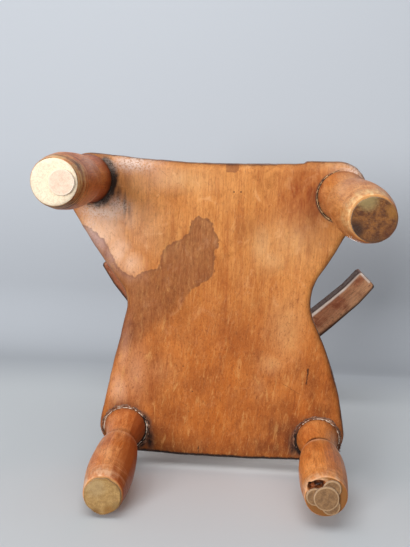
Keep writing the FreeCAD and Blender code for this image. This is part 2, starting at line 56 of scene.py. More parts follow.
MM = 0.001
scene = bpy.context.scene
scene.view_settings.view_transform = "Standard"
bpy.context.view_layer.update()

# Places on the chair
SEAT_UNDERSIDE = 161 * MM
SEAT_TOP = 191 * MM
RAIL_FLOOR = 463 * MM
RAIL_DEPTH = 46 * MM
CREST_MIDDLE = Vector((-8.969, 104.969, 0)) * MM      # the middle of the crest's curve
CREST_RADIUS = 88 * MM
CREST_HALF_ANGLE = math.radians(50.25)
BACK_TURN = math.radians(3.15)
SPLAT_FOOT = 48 * MM                                  # how far the splat stands behind that middle
SPLAT_WAIST_RISE = 120 * MM
NECK_DROP = 46 * MM                                   # along a leg from the seat's underside to its neck
ROOT_RADIUS = {"front": 32 * MM, "rear": 28 * MM}


# Camera and lamps

IMAGE_HEIGHT = 547
FOCAL_PIXELS = 720.0
SENSOR_WIDTH = 36
NEAREST_SEEN = 0.01
CAMERA_PLACE = (0.021991, -0.223447, -0.750)
CAMERA_RIGHT = (0.99724, -0.02923, 0.06829)
CAMERA_DOWN = (0.04042, 0.98484, -0.16866)
CAMERA_FORWARD = (-0.06232, 0.17096, 0.98331)
# Each lamp's place, the place it faces, its width and its watts
LAMPS = {
    "key": ((-1.3, -0.66, -2.7), (0.0, 0.0, 0.12), 1.2, 73),
    "fill": ((0.7, -0.85, -2.7), (0.0, 0.0, 0.12), 1.3, 13),
    "sky": ((-0.3, -1.9, -0.5), (0.0, 0.15, 0.2), 1.7, 21),
    "overhead": ((0.1, 0.1, 1.9), (0.0, 0.0, 0.3), 0.6, 24),
}
ROOM_TONE = (0.94, 0.97, 1.0, 1)
ROOM_STRENGTH = 0.2


def add_object(name, data):
    made = bpy.data.objects.new(name, data)
    scene.collection.objects.link(made)
    return made


def place_camera():
    data = bpy.data.cameras.new("camera")
    data.sensor_width = SENSOR_WIDTH
    data.lens = SENSOR_WIDTH * FOCAL_PIXELS / IMAGE_HEIGHT
    data.clip_start = NEAREST_SEEN
    camera = add_object("camera", data)
    axes = Matrix((Vector(CAMERA_RIGHT), -Vector(CAMERA_DOWN), -Vector(CAMERA_FORWARD))).transposed()
    camera.matrix_world = Matrix.Translation(CAMERA_PLACE) @ axes.to_4x4()
    scene.camera = camera


def light_stage():
    for name, (place, target, width, watts) in LAMPS.items():
        data = bpy.data.lights.new(name, "AREA")
        data.size = width
        data.energy = watts
        lamp = add_object(name, data)
        lamp.location = place
        lamp.rotation_euler = (Vector(target) - Vector(place)).to_track_quat("-Z", "Y").to_euler()
    world = bpy.data.worlds.new("room")
    scene.world = world
    world.use_nodes = True
    room = world.node_tree.nodes["Background"].inputs
    room["Color"].default_value = ROOM_TONE
    room["Strength"].default_value = ROOM_STRENGTH


# Node trees and finishes

LEVEL = (0, 0, 0)                    # leaves the grain running front to back
UPRIGHT = (math.pi / 2, 0, 0)        # turns it to run up and down


def heading(angle):
    """Turns the grain to run level, at an angle from the chair's X."""
    return (0, 0, angle - math.pi / 2)


def srgb(*levels):
    """Red, green and blue as a screen shows them, 0 to 255, in the linear values that shaders take."""
    shares = [level / 255 for level in levels]
    linear = [c / 12.92 if c <= 0.04045 else ((c + 0.055) / 1.055) ** 2.4 for c in shares]
    return (*linear, 1.0)


class Nodes:
    """Adds the nodes of a tree and links them."""

    def __init__(self, tree):
        self.tree = tree

    def feed(self, socket, value):
        """Links a socket to another node's output, or sets it to a constant."""
        if isinstance(value, bpy.types.NodeSocket):
            self.tree.links.new(value, socket)
        else:
            socket.default_value = value

    def add(self, kind, inputs=None, **settings):
        node = self.tree.nodes.new(kind)
        for key, value in settings.items():
            setattr(node, key, value)
        for key, value in (inputs or {}).items():
            self.feed(node.inputs[key], value)
        return node

    def math(self, operation, first, second=0.0, clamp=False):
        inputs = {0: first, 1: second}
        return self.add("ShaderNodeMath", inputs, operation=operation, use_clamp=clamp).outputs[0]

    def plus(self, first, second):
        return self.math("ADD", first, second)

    def minus(self, first, second):
        return self.math("SUBTRACT", first, second)

    def times(self, first, second, clamp=False):
        return self.math("MULTIPLY", first, second, clamp)

    def vector(self, operation, inputs, output=0):
        return self.add("ShaderNodeVectorMath", inputs, operation=operation).outputs[output]


class Finish(Nodes):
    """A material built node by node on the piece's own coordinates."""

    def __init__(self, name):
        self.material = bpy.data.materials.new(name)
        self.material.use_nodes = True
        super().__init__(self.material.node_tree)
        self.shader = self.tree.nodes["Principled BSDF"]
        self.output = self.tree.nodes["Material Output"]
        self.place = self.add("ShaderNodeTexCoord").outputs["Object"]

    def mix(self, amount, first, second, blend="MIX"):
        inputs = {0: amount, 6: first, 7: second}
        return self.add("ShaderNodeMix", inputs, data_type="RGBA", blend_type=blend).outputs[2]

    def share(self, value, low, high, start=0.0, end=1.0):
        """How far value is from low to high, smoothed, between start and end."""
        inputs = {"Value": value, "From Min": low, "From Max": high, "To Min": start, "To Max": end}
        node = self.add("ShaderNodeMapRange", inputs, interpolation_type="SMOOTHSTEP")
        return node.outputs["Result"]

    def lay(self, colour, rows, within=None):
        """Lays tones over a colour in turn, all of them within a share if one is given.

        A row holds a value, where its tone starts to show, where it shows most, its share there and the tone.
        """
        for value, start, full, most, tone in rows:
            amount = self.share(value, start, full, 0.0, most)
            if within is not None:
                amount = self.times(amount, within)
            colour = self.mix(amount, colour, tone)
        return colour

    def without(self, share):
        """What a share leaves of the whole."""
        return self.minus(1.0, share)

    def sway(self, noise, reach):
        """A noise as an offset to both sides, over a given reach in all."""
        return self.times(self.minus(noise, 0.5), reach)

    def cells(self, size, turn):
        """The place counted in cells of a given size, along turned axes."""
        inputs = {"Vector": self.place, "Rotation": turn, "Scale": size}
        return self.add("ShaderNodeMapping", inputs, vector_type="TEXTURE").outputs["Vector"]

    def noise(self, size, detail=2.0, roughness=0.5, distortion=0.0, turn=LEVEL):
        """A value between 0 and 1 in lumps of a given size."""
        inputs = {"Vector": self.cells(size, turn), "Scale": 1.0, "Detail": detail, "Roughness": roughness,
                  "Distortion": distortion}
        return self.add("ShaderNodeTexNoise", inputs).outputs["Fac"]

    def distance(self, place, spot):
        return self.vector("DISTANCE", {0: place, 1: spot}, "Value")

    def attribute(self, name):
        return self.add("ShaderNodeAttribute", attribute_name=name).outputs["Fac"]

    def axis(self, name):
        return self.add("ShaderNodeSeparateXYZ", {0: self.place}).outputs[name]

    def bump(self, height, distance, strength):
        inputs = {"Height": height, "Distance": distance, "Strength": strength}
        self.feed(self.shader.inputs["Normal"], self.add("ShaderNodeBump", inputs).outputs["Normal"])

    def finish(self, colour, roughness, **constants):
        self.feed(self.shader.inputs["Base Color"], colour)
        self.feed(self.shader.inputs["Roughness"], roughness)
        for name, value in constants.items():
            self.shader.inputs[name.replace("_", " ")].default_value = value
        return self.material


def wood_layers(f, tones, turn, figure=1.0, pore_share=0.55):
    """Colour and relief of worked wood: broad tone, growth bands and pores. Tones run from light to dark."""
    light, middle, deep, pore = tones
    broad = f.noise((0.05 * figure, 0.11 * figure, 0.05 * figure), 4.0, 0.6, 0.6, turn)
    bands = f.noise((0.006 * figure, 0.10 * figure, 0.014 * figure), 4.0, 0.6, 0.6, turn)
    streaks = f.noise((0.0016, 0.03, 0.0016), 3.0, 0.6, turn=turn)
    pores = f.noise((0.0007, 0.008, 0.0007), 1.0, turn=turn)
    colour = f.lay(light, [
        (broad, 0.36, 0.64, 1.0, middle),
        (bands, 0.42, 0.74, 0.5, deep),
        (streaks, 0.48, 0.70, 0.42, deep),
        (streaks, 0.46, 0.30, 0.3, light),
        (pores, 0.58, 0.70, pore_share, pore),
    ])
    relief = f.plus(f.times(bands, 0.5), f.times(streaks, 0.7))
    relief = f.minus(relief, f.share(pores, 0.58, 0.72, 0.0, 0.5))
    return colour, relief


# Tones of the woods, from light to dark and then the pores
HONEY = (srgb(225, 152, 82), srgb(203, 127, 58), srgb(168, 84, 29), srgb(112, 54, 22))
LEG_HONEY = (srgb(240, 166, 104), srgb(210, 122, 58), srgb(158, 76, 32), srgb(92, 46, 24))
PALE_LEG = (srgb(236, 166, 102), srgb(212, 132, 64), srgb(164, 86, 36), srgb(98, 52, 26))
BROWN_LEG = (srgb(255, 170, 100), srgb(230, 124, 62), srgb(158, 76, 36), srgb(80, 40, 22))
RED_LEG = (srgb(242, 162, 90), srgb(214, 124, 54), srgb(162, 82, 32), srgb(96, 48, 22))
RAIL_BROWN = (srgb(224, 166, 122), srgb(192, 116, 80), srgb(128, 62, 40), srgb(52, 28, 20))
LEFT_BROWN = (srgb(176, 104, 66), srgb(140, 74, 44), srgb(98, 48, 28), srgb(48, 24, 16))
DARK_POLISH = (srgb(124, 80, 56), srgb(92, 55, 38), srgb(62, 35, 24), srgb(34, 20, 15))
PEG_BROWN = (srgb(150, 104, 66), srgb(118, 76, 46), srgb(84, 50, 30), srgb(50, 30, 20))
# Near black for soot, nicks and cracks, and for painted shadow in gaps and along the seat's rear edge
SOOT_AND_SHADE = srgb(30, 22, 18)
# Dark brown for dirt and scrapes, and for the painted shade in the legs' neck creases
DIRT_AND_SHADE = srgb(72, 37, 20)


# Meshes

CELL_STEPS = (374761393, 668265263, 1440662683)
SEED_STEP = 974634777
SCRAMBLE = 1274126177
LATTICE_TOP = 0xFFFF
MERGE_REACH = 0.01 * MM
SKIN_ROUNDS = 2              # rounds of relaxing, before and again after a skin is drawn to its solid
PROUD_ROUNDS = 10


def lattice(cells, seed):
    """A repeatable value between 0 and 1 for each whole-number cell."""
    mixed = cells @ np.array(CELL_STEPS) + seed * SEED_STEP
    mixed = (mixed ^ (mixed >> 13)) * SCRAMBLE
    return ((mixed ^ (mixed >> 16)) & LATTICE_TOP) / LATTICE_TOP


def noise(points, grain, seed):
    """Smooth noise between -1 and 1 whose lumps are about one grain across."""
    scaled = points / np.asarray(grain)
    base = np.floor(scaled).astype(np.int64)
    part = scaled - base
    part = part * part * (3 - 2 * part)
    total = np.zeros(len(points))
    for corner in np.ndindex(2, 2, 2):
        weight = np.prod(np.where(corner, part, 1 - part), axis=1)
        total += weight * lattice(base + corner, seed)
    return total * 2 - 1


def smooth_step(value, low, high):
    t = np.clip((value - low) / (high - low), 0, 1)
    return t * t * (3 - 2 * t)


def bell(distance, reach):
    """Falls softly from 1 at no distance to about a third at the reach."""
    return np.exp(-(distance / reach) ** 2)


def make_plain(piece):
    """Turns a piece and its modifiers into a plain mesh."""
    graph = bpy.context.evaluated_depsgraph_get()
    made = bpy.data.meshes.new_from_object(piece.evaluated_get(graph))
    piece.modifiers.clear()
    piece.data = made
    made.name = piece.name


def voxel_remesh(piece, size):
    """Redraws a piece as one even mesh."""
    remesh = piece.modifiers.new("even", "REMESH")
    remesh.mode = "VOXEL"
    remesh.voxel_size = size
    make_plain(piece)


def relax(points, edges, rounds):
    """Draws each point halfway to the middle of its neighbours, a number of times."""
    first, second = edges.T
    count = np.bincount(edges.ravel(), minlength=len(points))
    for _ in range(rounds):
        middle = np.empty_like(points)
        for axis in range(3):
            middle[:, axis] = np.bincount(first, points[second, axis], len(points))
            middle[:, axis] += np.bincount(second, points[first, axis], len(points))
        points = (points + middle / count[:, None]) / 2
    return points


class Skin:
    """An even mesh over a solid, to be worked like the real surface and then put in the solid's place."""

    def __init__(self, node, voxel):
        self.node = node
        merged, solid = self.merged_copy(node)
        self.piece = add_object(f"{node}_worked", merged)
        voxel_remesh(self.piece, voxel)
        mesh = self.piece.data
        self.points = np.empty((len(mesh.vertices), 3))
        mesh.vertices.foreach_get("co", self.points.ravel())
        self.edges = np.empty((len(mesh.edges), 2), np.int32)
        mesh.edges.foreach_get("vertices", self.edges.ravel())
        relaxed = relax(self.points, self.edges, SKIN_ROUNDS)
        self.points = np.array([solid.find_nearest(point)[0] for point in relaxed])
        self.points = relax(self.points, self.edges, SKIN_ROUNDS)
        self.store()

    @staticmethod
    def merged_copy(node):
        """A copy of a node's mesh with its loose triangles joined, and the same as a tree to search."""
        copy = bmesh.new()
        copy.from_mesh(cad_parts[node].data)
        bmesh.ops.remove_doubles(copy, verts=copy.verts, dist=MERGE_REACH)
        solid = BVHTree.FromBMesh(copy)
        mesh = bpy.data.meshes.new(f"{node}_copy")
        copy.to_mesh(mesh)
        copy.free()
        return mesh, solid

    def store(self):
        """Writes the points to the mesh and reads its normals."""
        mesh = self.piece.data
        mesh.vertices.foreach_set("co", self.points.ravel())
        mesh.update()
        normals = np.empty(len(self.points) * 3, np.float32)
        mesh.vertex_normals.foreach_get("vector", normals)
        self.normals = normals.reshape(-1, 3).astype(float)

    def carve(self, depth):
        """Cuts into the surface by a depth at each point; a negative depth raises it."""
        self.points -= self.normals * np.asarray(depth)[:, None]
        self.store()

    def ripples(self, depth, grain, seed):
        """Gentle unevenness, as depth."""
        return depth * noise(self.points, grain, seed)

    def dents(self, depth, grain, seed, start, full):
        """Scattered dents where a noise passes its start, as depth."""
        return depth * smooth_step(noise(self.points, grain, seed), start, full)

    def mark(self, name, values):
        """Keeps a value for each point, for the finish to read."""
        attribute = self.piece.data.attributes.new(name, "FLOAT", "POINT")
        attribute.data.foreach_set("value", values.astype(np.float32))

    def mark_edges(self):
        """Keeps how far each point stands proud of its surroundings, in millimetres."""
        proud = ((self.points - relax(self.points, self.edges, PROUD_ROUNDS)) * self.normals).sum(1)
        self.mark("proud", proud / MM)

    def finish(self, material, slot):
        mesh = self.piece.data
        mesh.shade_smooth()
        mesh.materials.clear()
        mesh.materials.append(material)
        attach(self.piece, "root")
        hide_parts(self.node)


# Legs

# How each leg is worked and worn:
# shoulder, the depth of the crease at its neck, and lean, how much deeper that is on the right;
# neck_line, how dark the painted shade in the crease is, and right_shade, how dark the painted shade on the
# leg's right side is;
# foot_rounding, rounds of smoothing; lit_worn_side, the side of the foot that is rubbed bare and painted with
# a highlight, the other side getting painted shade, with (0, 0) for bare all round;
# root_grime and foot_ring, the dirt at the root and the scrapes at the foot;
# rim_start, how level the wood is where the sawn end begins
LEGS = {
    "front_left": SimpleNamespace(
        shoulder=1.2 * MM, lean=0.0, neck_line=0.3, right_shade=0.3, foot_rounding=44,
        lit_worn_side=(0, 0), root_grime=0.85, foot_ring=0.9, rim_start=-0.58,
        tones=BROWN_LEG, end_tone=srgb(255, 238, 208), worn_and_highlight_tone=srgb(222, 178, 122)),
    "front_right": SimpleNamespace(
        shoulder=0.6 * MM, lean=0.0, neck_line=0.1, right_shade=0.45, foot_rounding=14,
        lit_worn_side=(-0.6, -0.8), root_grime=0.35, foot_ring=0.2, rim_start=-0.8,
        tones=PALE_LEG, end_tone=srgb(206, 150, 92), worn_and_highlight_tone=srgb(246, 208, 150)),
    "rear_left": SimpleNamespace(
        shoulder=1.4 * MM, lean=-0.4, neck_line=0.35, right_shade=0.9, foot_rounding=14,
        lit_worn_side=(-0.8, -0.6), root_grime=0.25, foot_ring=0.2, rim_start=-0.8,
        tones=LEG_HONEY, end_tone=srgb(188, 138, 84), worn_and_highlight_tone=srgb(238, 190, 150)),
    "rear_right": SimpleNamespace(
        shoulder=2.3 * MM, lean=0.2, neck_line=1.0, right_shade=0.1, foot_rounding=10,
        lit_worn_side=(-0.4, -0.9), root_grime=0.3, foot_ring=0.2, rim_start=-0.8,
        tones=RED_LEG, end_tone=srgb(142, 96, 50), worn_and_highlight_tone=srgb(236, 186, 144)),
}
FACETS = 15
FACET_DEPTH = 0.34 * MM
SHOULDER_ROUND = 6 * MM
WAIST_REACH = 12 * MM
FOOT_REACH = 9 * MM
# The hollow broken out of the rear right foot: its middle, its reach each way, its slant and its depth
HOLLOW_MIDDLE = (105.5 * MM, 142.2 * MM)
HOLLOW_REACH = (11.5 * MM, 6.6 * MM)
HOLLOW_SLANT = 0.3
HOLLOW_DEPTH = 10 * MM


def end_middles(node):
    """The middles of the lower and the upper end of a leg or post."""
    points = np.array([v.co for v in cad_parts[node].data.vertices])
    ends = []
    for level in (points[:, 2].min(), points[:, 2].max()):
        ring = points[np.abs(points[:, 2] - level) < 0.05 * MM]
        ends.append((ring.min(0) + ring.max(0)) / 2)
    return ends


def leg_root(name):
    """Where the axis of a leg meets the seat's underside, and the leg's radius there."""
    foot, top = end_middles(f"{name}_leg")
    share = (SEAT_UNDERSIDE - foot[2]) / (top[2] - foot[2])
    return foot + (top - foot) * share, ROOT_RADIUS[name.split("_")[0]]


def along_axis(skin, foot, top):
    """Height along an axis, angle round it, and how much each point faces away from the axis."""
    axis = (top - foot) / np.linalg.norm(top - foot)
    side = np.cross((0, 1, 0), axis)
    side /= np.linalg.norm(side)
    front = np.cross(axis, side)
    offset = skin.points - foot
    angle = np.arctan2(offset @ front, offset @ side)
    on_side = smooth_step(1 - np.abs(skin.normals @ axis), 0.3, 0.8)
    return offset @ axis, angle, on_side


def facet_depth(skin, foot, top, seed):
    """Long knife facets round a leg, wandering and fading along it."""
    _, angle, on_side = along_axis(skin, foot, top)
    wander = noise(skin.points, (0.04, 0.04, 0.05), seed) * 0.35
    turn = angle / (2 * math.pi) * FACETS + wander
    across = (turn - np.floor(turn)) * 2 - 1
    strength = np.clip(0.75 + 0.6 * noise(skin.points, (0.03, 0.03, 0.045), seed + 1), 0, 1.3)
    return FACET_DEPTH * (1 - across ** 2) * strength * on_side


def shoulder_depth(past_neck, deep):
    """The crease at a leg's neck: a soft waist above it, and the round shoulder of the barrel below."""
    above = deep * np.exp(-np.clip(past_neck, 0, None) / WAIST_REACH)
    inward = 1 - np.clip(-past_neck, 0, SHOULDER_ROUND) / SHOULDER_ROUND
    below = deep * (1 - np.sqrt(1 - inward ** 2))
    return np.where(past_neck > 0, above, below)


def break_out_hollow(skin, seed):
    """Breaks a ragged hollow out of a foot, and keeps its depth and its lip for the finish, which paints
    shade inside and a highlight on the lip.
    """
    x, y, z = skin.points.T
    across = (x - HOLLOW_MIDDLE[0]) / HOLLOW_REACH[0]
    ahead = (y - HOLLOW_MIDDLE[1] + HOLLOW_SLANT * (x - HOLLOW_MIDDLE[0])) / HOLLOW_REACH[1]
    reach = np.hypot(across, ahead) + 0.18 * noise(skin.points, (0.004, 0.004, 0.004), seed)
    on_foot = smooth_step(z, 26 * MM, 8 * MM)
    lift = HOLLOW_DEPTH * smooth_step(reach, 1.05, 0.62) * on_foot
    skin.points[:, 2] += lift
    skin.store()
    # The finish paints shade inside the hollow and a highlight round its lip from these marks
    skin.mark("hollow_shade", np.clip(lift / (8 * MM), 0, 1))
    skin.mark("lip_highlight", on_foot * bell(reach - 1.12, 0.13))


def worked_leg(name, seed):
    leg = LEGS[name]
    node = f"{name}_leg"
    skin = Skin(node, 0.9 * MM)
    foot, top = end_middles(node)
    root, _ = leg_root(name)
    below_seat = skin.points[:, 2] < SEAT_UNDERSIDE - 0.5 * MM
    height, _, on_side = along_axis(skin, foot, top)
    past_neck = height - (np.linalg.norm(root - foot) - NECK_DROP)
    past_neck += skin.ripples(1.2 * MM, (0.02, 0.02, 0.02), seed + 6)
    uneven = 0.95 + skin.ripples(0.2, (0.03, 0.03, 0.08), seed + 7)
    uneven += leg.lean * skin.normals[:, 0]
    depth = shoulder_depth(past_neck, leg.shoulder) * on_side * uneven
    depth += facet_depth(skin, foot, top, seed)
    depth += skin.ripples(0.35 * MM, (0.022, 0.022, 0.05), seed + 2)
    depth += skin.ripples(0.10 * MM, (0.004, 0.004, 0.016), seed + 3)
    depth += skin.dents(0.5 * MM, (0.009, 0.009, 0.012), seed + 4, 0.72, 0.97)
    skin.carve(np.where(below_seat, depth, 0))
    near_foot = height < FOOT_REACH
    for _ in range(leg.foot_rounding):
        skin.points[near_foot] = relax(skin.points, skin.edges, 1)[near_foot]
    skin.store()
    # Painted light: the foot's side towards the lamps is worn bare and painted lighter, and the other side is
    # painted in shade
    lit_and_worn = np.ones(len(height))
    if any(leg.lit_worn_side):
        lit_and_worn = smooth_step(skin.normals[:, :2] @ leg.lit_worn_side, -0.2, 0.6)
    skin.mark("lit_worn_side", lit_and_worn)
    if name == "rear_right":
        break_out_hollow(skin, seed + 5)
    # Painted shade in the neck's crease, and a painted highlight on the barrel's lip just below it
    strength = on_side * below_seat * leg.neck_line
    skin.mark("neck_line", strength * bell(past_neck - 7.5 * MM, 2.4 * MM))
    skin.mark("neck_lip_highlight", strength * bell(past_neck + 8.5 * MM, 4.0 * MM))
    # Painted shade: the leg's right side, away from the key lamp, is darkened in the finish
    skin.mark("right_side_shade", leg.right_shade * smooth_step(skin.normals[:, 0], 0.15, 0.85))
    skin.mark_edges()
    skin.finish(leg_finish(name), "leg_wood")


def leg_finish(name):
    """Satin varnish, dirty at the root, rubbed and scraped at the foot, with painted shade and highlights on
    the leg and a sawn end below.
    """
    leg = LEGS[name]
    f = Finish(f"{name}_leg_wood")
    colour, relief = wood_layers(f, leg.tones, UPRIGHT, 0.8, 0.4)
    mottle = f.noise((0.022, 0.022, 0.034), 5.0, 0.62, 0.4)
    blotch = f.noise((0.007, 0.007, 0.016), 4.0, 0.65)
    z = f.axis("Z")
    level = f.plus(z, f.sway(mottle, 0.02))
    normal = f.add("ShaderNodeNewGeometry").outputs["Normal"]
    facing = f.add("ShaderNodeSeparateXYZ", {0: normal}).outputs["Z"]
    sawn = f.times(f.share(facing, leg.rim_start, leg.rim_start - 0.15), f.share(z, 0.014, 0.009))
    colour = mottled_leg(f, leg, colour, mottle, blotch)
    colour = dirty_root(f, leg, colour, z, level, blotch)
    colour = worn_foot(f, leg, colour, level, mottle, blotch)
    colour = f.mix(sawn, colour, sawn_end(f, leg))
    colour = broken_foot(f, leg, colour, blotch)
    f.bump(relief, 0.25 * MM, 0.6)
    rough = f.math("MAXIMUM", f.share(mottle, 0.25, 0.75, 0.32, 0.5), f.times(sawn, 0.8))
    return f.finish(colour, rough, Specular_IOR_Level=0.26, Coat_Weight=0.05, Coat_Roughness=0.2)


def mottled_leg(f, leg, colour, mottle, blotch):
    """Mottles and streaks, light on the edges, dirty in the hollows, and painted shade on the leg's right
    side.
    """
    light, _, deep, _ = leg.tones
    streak = f.noise((0.0034, 0.0034, 0.017), 4.0, 0.68, 0.6)
    proud = f.attribute("proud")
    colour = f.lay(colour, [
        (mottle, 0.47, 0.72, 0.6, deep),
        (blotch, 0.56, 0.78, 0.55, deep),
        (blotch, 0.44, 0.24, 0.5, light),
        (streak, 0.54, 0.70, 0.55, deep),
        (streak, 0.46, 0.30, 0.5, light),
    ])
    colour = f.lay(colour, [(proud, 0.03, 0.22, 1.0, light)], f.share(mottle, 0.3, 0.6, 0.8, 0.2))
    colour = f.lay(colour, [(proud, -0.05, -0.32, 0.8, DIRT_AND_SHADE)])
    # painted shade on the leg's right side
    return f.mix(f.attribute("right_side_shade"), colour, deep)


def dirty_root(f, leg, colour, z, level, blotch):
    """Painted shade in the crease and a painted highlight on the lip at the neck, dirt at the root, and the
    end of the tenon above.
    """
    # Painted shade in the crease, then a painted highlight on the lip
    crease = f.times(f.attribute("neck_line"), f.share(blotch, 0.3, 0.6, 0.5, 1.0))
    colour = f.mix(crease, colour, DIRT_AND_SHADE)
    lip_highlight = f.times(f.attribute("neck_lip_highlight"), f.share(blotch, 0.3, 0.6, 0.9, 0.5))
    colour = f.mix(lip_highlight, colour, leg.worn_and_highlight_tone)
    tenon_end = f.mix(f.share(blotch, 0.35, 0.65), srgb(150, 92, 52), srgb(92, 54, 32))
    return f.lay(colour, [
        (level, 0.124, 0.160, leg.root_grime, srgb(150, 66, 28)),
        (level, 0.150, 0.163, leg.root_grime, DIRT_AND_SHADE),
        (z, 0.176, 0.184, 1.0, tenon_end),
    ])


def sawn_end(f, leg):
    """The ringed end grain under a foot."""
    rings = f.noise((0.0028, 0.0028, 0.05), 3.0, 0.6, 1.2)
    return f.lay(leg.end_tone, [(rings, 0.38, 0.66, 0.6, f.mix(0.4, leg.end_tone, leg.tones[2]))])


def broken_foot(f, leg, colour, blotch):
    """Painted shade inside a hollow broken out of a foot, mottled dark and orange, and a painted highlight on
    its lip.
    """
    inside = f.mix(f.share(blotch, 0.4, 0.62), srgb(44, 24, 16), srgb(150, 82, 44))
    colour = f.mix(f.attribute("hollow_shade"), colour, inside)
    lip_highlight = f.times(f.attribute("lip_highlight"), f.share(blotch, 0.35, 0.55, 0.1, 0.8))
    return f.mix(lip_highlight, colour, leg.worn_and_highlight_tone)


def worn_foot(f, leg, colour, level, mottle, blotch):
    """Lays wear and painted light near a foot over the leg's colour: painted shade on the side away from the
    light, bare wood with a painted highlight on the side towards it, a ring and scrapes.
    """
    near_foot = f.share(level, 0.024, 0.010)
    lit_worn_side = f.attribute("lit_worn_side")
    # Painted shade on the side away from the light, then bare wood and a painted highlight on the side
    # towards it
    shaded_side = f.times(near_foot, f.without(lit_worn_side))
    colour = f.mix(f.times(shaded_side, 0.55), colour, leg.tones[2])
    bare_lit_side = f.times(f.times(near_foot, f.share(blotch, 0.36, 0.6, 0.85, 0.1)), lit_worn_side)
    colour = f.mix(bare_lit_side, colour, leg.worn_and_highlight_tone)
    ring = f.times(f.share(level, 0.028, 0.019), f.share(level, 0.0085, 0.0125))
    ring = f.times(ring, f.share(mottle, 0.35, 0.6, leg.foot_ring, 0.3 * leg.foot_ring))
    colour = f.mix(ring, colour, srgb(122, 78, 38))
    scrapes = f.noise((0.034, 0.034, 0.0034), 4.0, 0.65, 0.5)
    scraped = f.times(f.share(level, 0.050, 0.022), leg.foot_ring)
    return f.lay(colour, [
        (scrapes, 0.51, 0.60, 0.9, DIRT_AND_SHADE),
        (scrapes, 0.47, 0.38, 0.95, leg.worn_and_highlight_tone),
    ], scraped)


# Seat board

# Outlines of the stains on the underside, millimetres
STAIN = [
    (-48, -139), (-55, -132), (-57, -119), (-67, -109), (-84, -101), (-91, -93), (-97, -69), (-118, -64),
    (-127, -57), (-140, -62), (-149, -69), (-160, -93), (-167, -104), (-188, -121), (-212, -122), (-192, -80),
    (-168, -30), (-166, 10), (-172, 42), (-136, 42), (-110, 17), (-84, 3), (-65, -24), (-52, -44), (-30, -57),
    (-24, -68), (-24, -94), (-19, -100), (-20, -111), (-26, -121), (-28, -130), (-36, -136),
]
FRONT_STAIN = [(-15, -214), (4, -214), (3, -198), (-1, -194), (-7, -195), (-13, -195)]
# Soft marks on the underside: place x and y, reach along x and y (millimetres), and strength
SOFT_MARKS = {
    "dark": [
        (98, -152, 10, 30, 0.5), (86, 154, 16, 32, 1.05), (-60, 192, 90, 25, 0.85), (30, 192, 90, 25, 0.85),
        (-103, 162, 12, 30, 0.9), (126, 112, 18, 12, 0.75), (110, 84, 8, 34, 0.4), (134, 96, 9, 34, 0.6),
        (-100, 40, 14, 30, 0.25), (-140, 118, 24, 8, 0.7), (-150, 124, 12, 10, 0.5),
        (-152, -150, 12, 20, 0.2), (58, 168, 34, 14, 0.8), (66, 140, 18, 18, 0.85),
        (74, 112, 22, 16, 0.4), (-92, 150, 24, 16, 0.4), (-94, -104, 20, 16, 0.3),
        (20, -123, 22, 20, 0.25), (-108, 172, 22, 14, 0.9), (-84, 130, 26, 26, 0.3), (72, 120, 9, 12, 0.5),
    ],
    "burnt": [
        (84, -166, 26, 46, 1.25), (-30, 160, 120, 34, 0.55), (60, 150, 40, 40, 0.5), (8, 18, 56, 36, 0.5),
        (-30, 90, 30, 60, 0.35), (24, 120, 60, 24, 0.4), (0, -60, 34, 30, 0.25), (-100, 60, 20, 50, 0.3),
        (110, 80, 20, 50, 0.5), (-66, 130, 30, 26, 0.6), (54, 66, 20, 26, 0.4), (60, 164, 50, 24, 0.7),
        (78, 118, 22, 18, 0.6), (58, 150, 24, 22, 0.6), (-90, 150, 26, 18, 0.7),
    ],
    "pale": [
        (-172, -112, 26, 26, 1.2), (-152, -92, 18, 22, 1.0), (-133, -74, 16, 16, 0.7),
        (36, -105, 12, 24, 0.5), (-160, -138, 20, 14, 0.9), (-132, -132, 18, 20, 0.45),
        (-116, -186, 26, 20, 0.3), (48, -86, 20, 16, 0.45), (53, 52, 18, 16, 0.32), (70, 4, 22, 40, 0.36),
        (40, 84, 12, 20, 0.2), (-74, -186, 44, 16, 0.55), (80, -114, 40, 32, 0.34), (-126, 72, 16, 36, 0.3),
        (-146, 98, 12, 26, 0.5), (-140, 40, 10, 40, 0.35), (-118, -120, 34, 34, 0.3),
        (120, -206, 26, 8, 0.35), (-90, 68, 24, 16, 0.12),
    ],
    # Soot, with the painted shadow of the front left leg beside its root
    "soot": [
        (-152, -184, 4, 16, 0.8), (-149, -164, 4, 14, 0.7), (-158, -150, 10, 3, 0.5),
        (-182, -146, 14, 2.5, 0.5), (88, 162, 6, 18, 0.8), (-103, 166, 6, 18, 0.8),
        (-141, -150, 3, 18, 0.7), (-135, -142, 2.4, 14, 0.5),
    ],
    "speckle": [
        (-132, -203, 28, 10, 1.0), (146, -200, 20, 12, 0.7), (-172, -140, 24, 10, 0.9),
        (-150, -148, 14, 10, 0.8), (-186, -128, 8, 16, 0.5),
    ],
}
# Soot and painted shadow in the gap at a root: the side it lies on, its reach (millimetres) and its strength
ROOT_SOOT_AND_SHADOW = {
    "front_left": ((0.98, 0.2), 7.5, 1.35),
    "front_right": ((-0.98, 0.2), 2.6, 1.2),
    "rear_left": ((0.95, 0.3), 8.0, 1.05),
    "rear_right": ((-0.8, 0.6), 6.5, 0.95),
}
# Nicks: place x and y and radius (millimetres)
NICKS = [
    (-2.2, -170.6, 1.5), (6.6, -170.9, 1.6), (-61, 60, 1.2),
    (-48, 94, 1.3), (-20, -104, 1.1), (-52, 122, 1.0),
]
# Cracks: x, middle y, half length and half width (millimetres), and slant
CRACKS = [(-38.1, 178.5, 10, 0.7, 0.0), (102, 66, 13, 1.3, -0.06), (82, 84, 8, 0.5, 1.7)]
EDGE_BAND = (163 * MM, 171 * MM)         # levels at which the board's edge is upright
RIM_BAND = 9 * MM


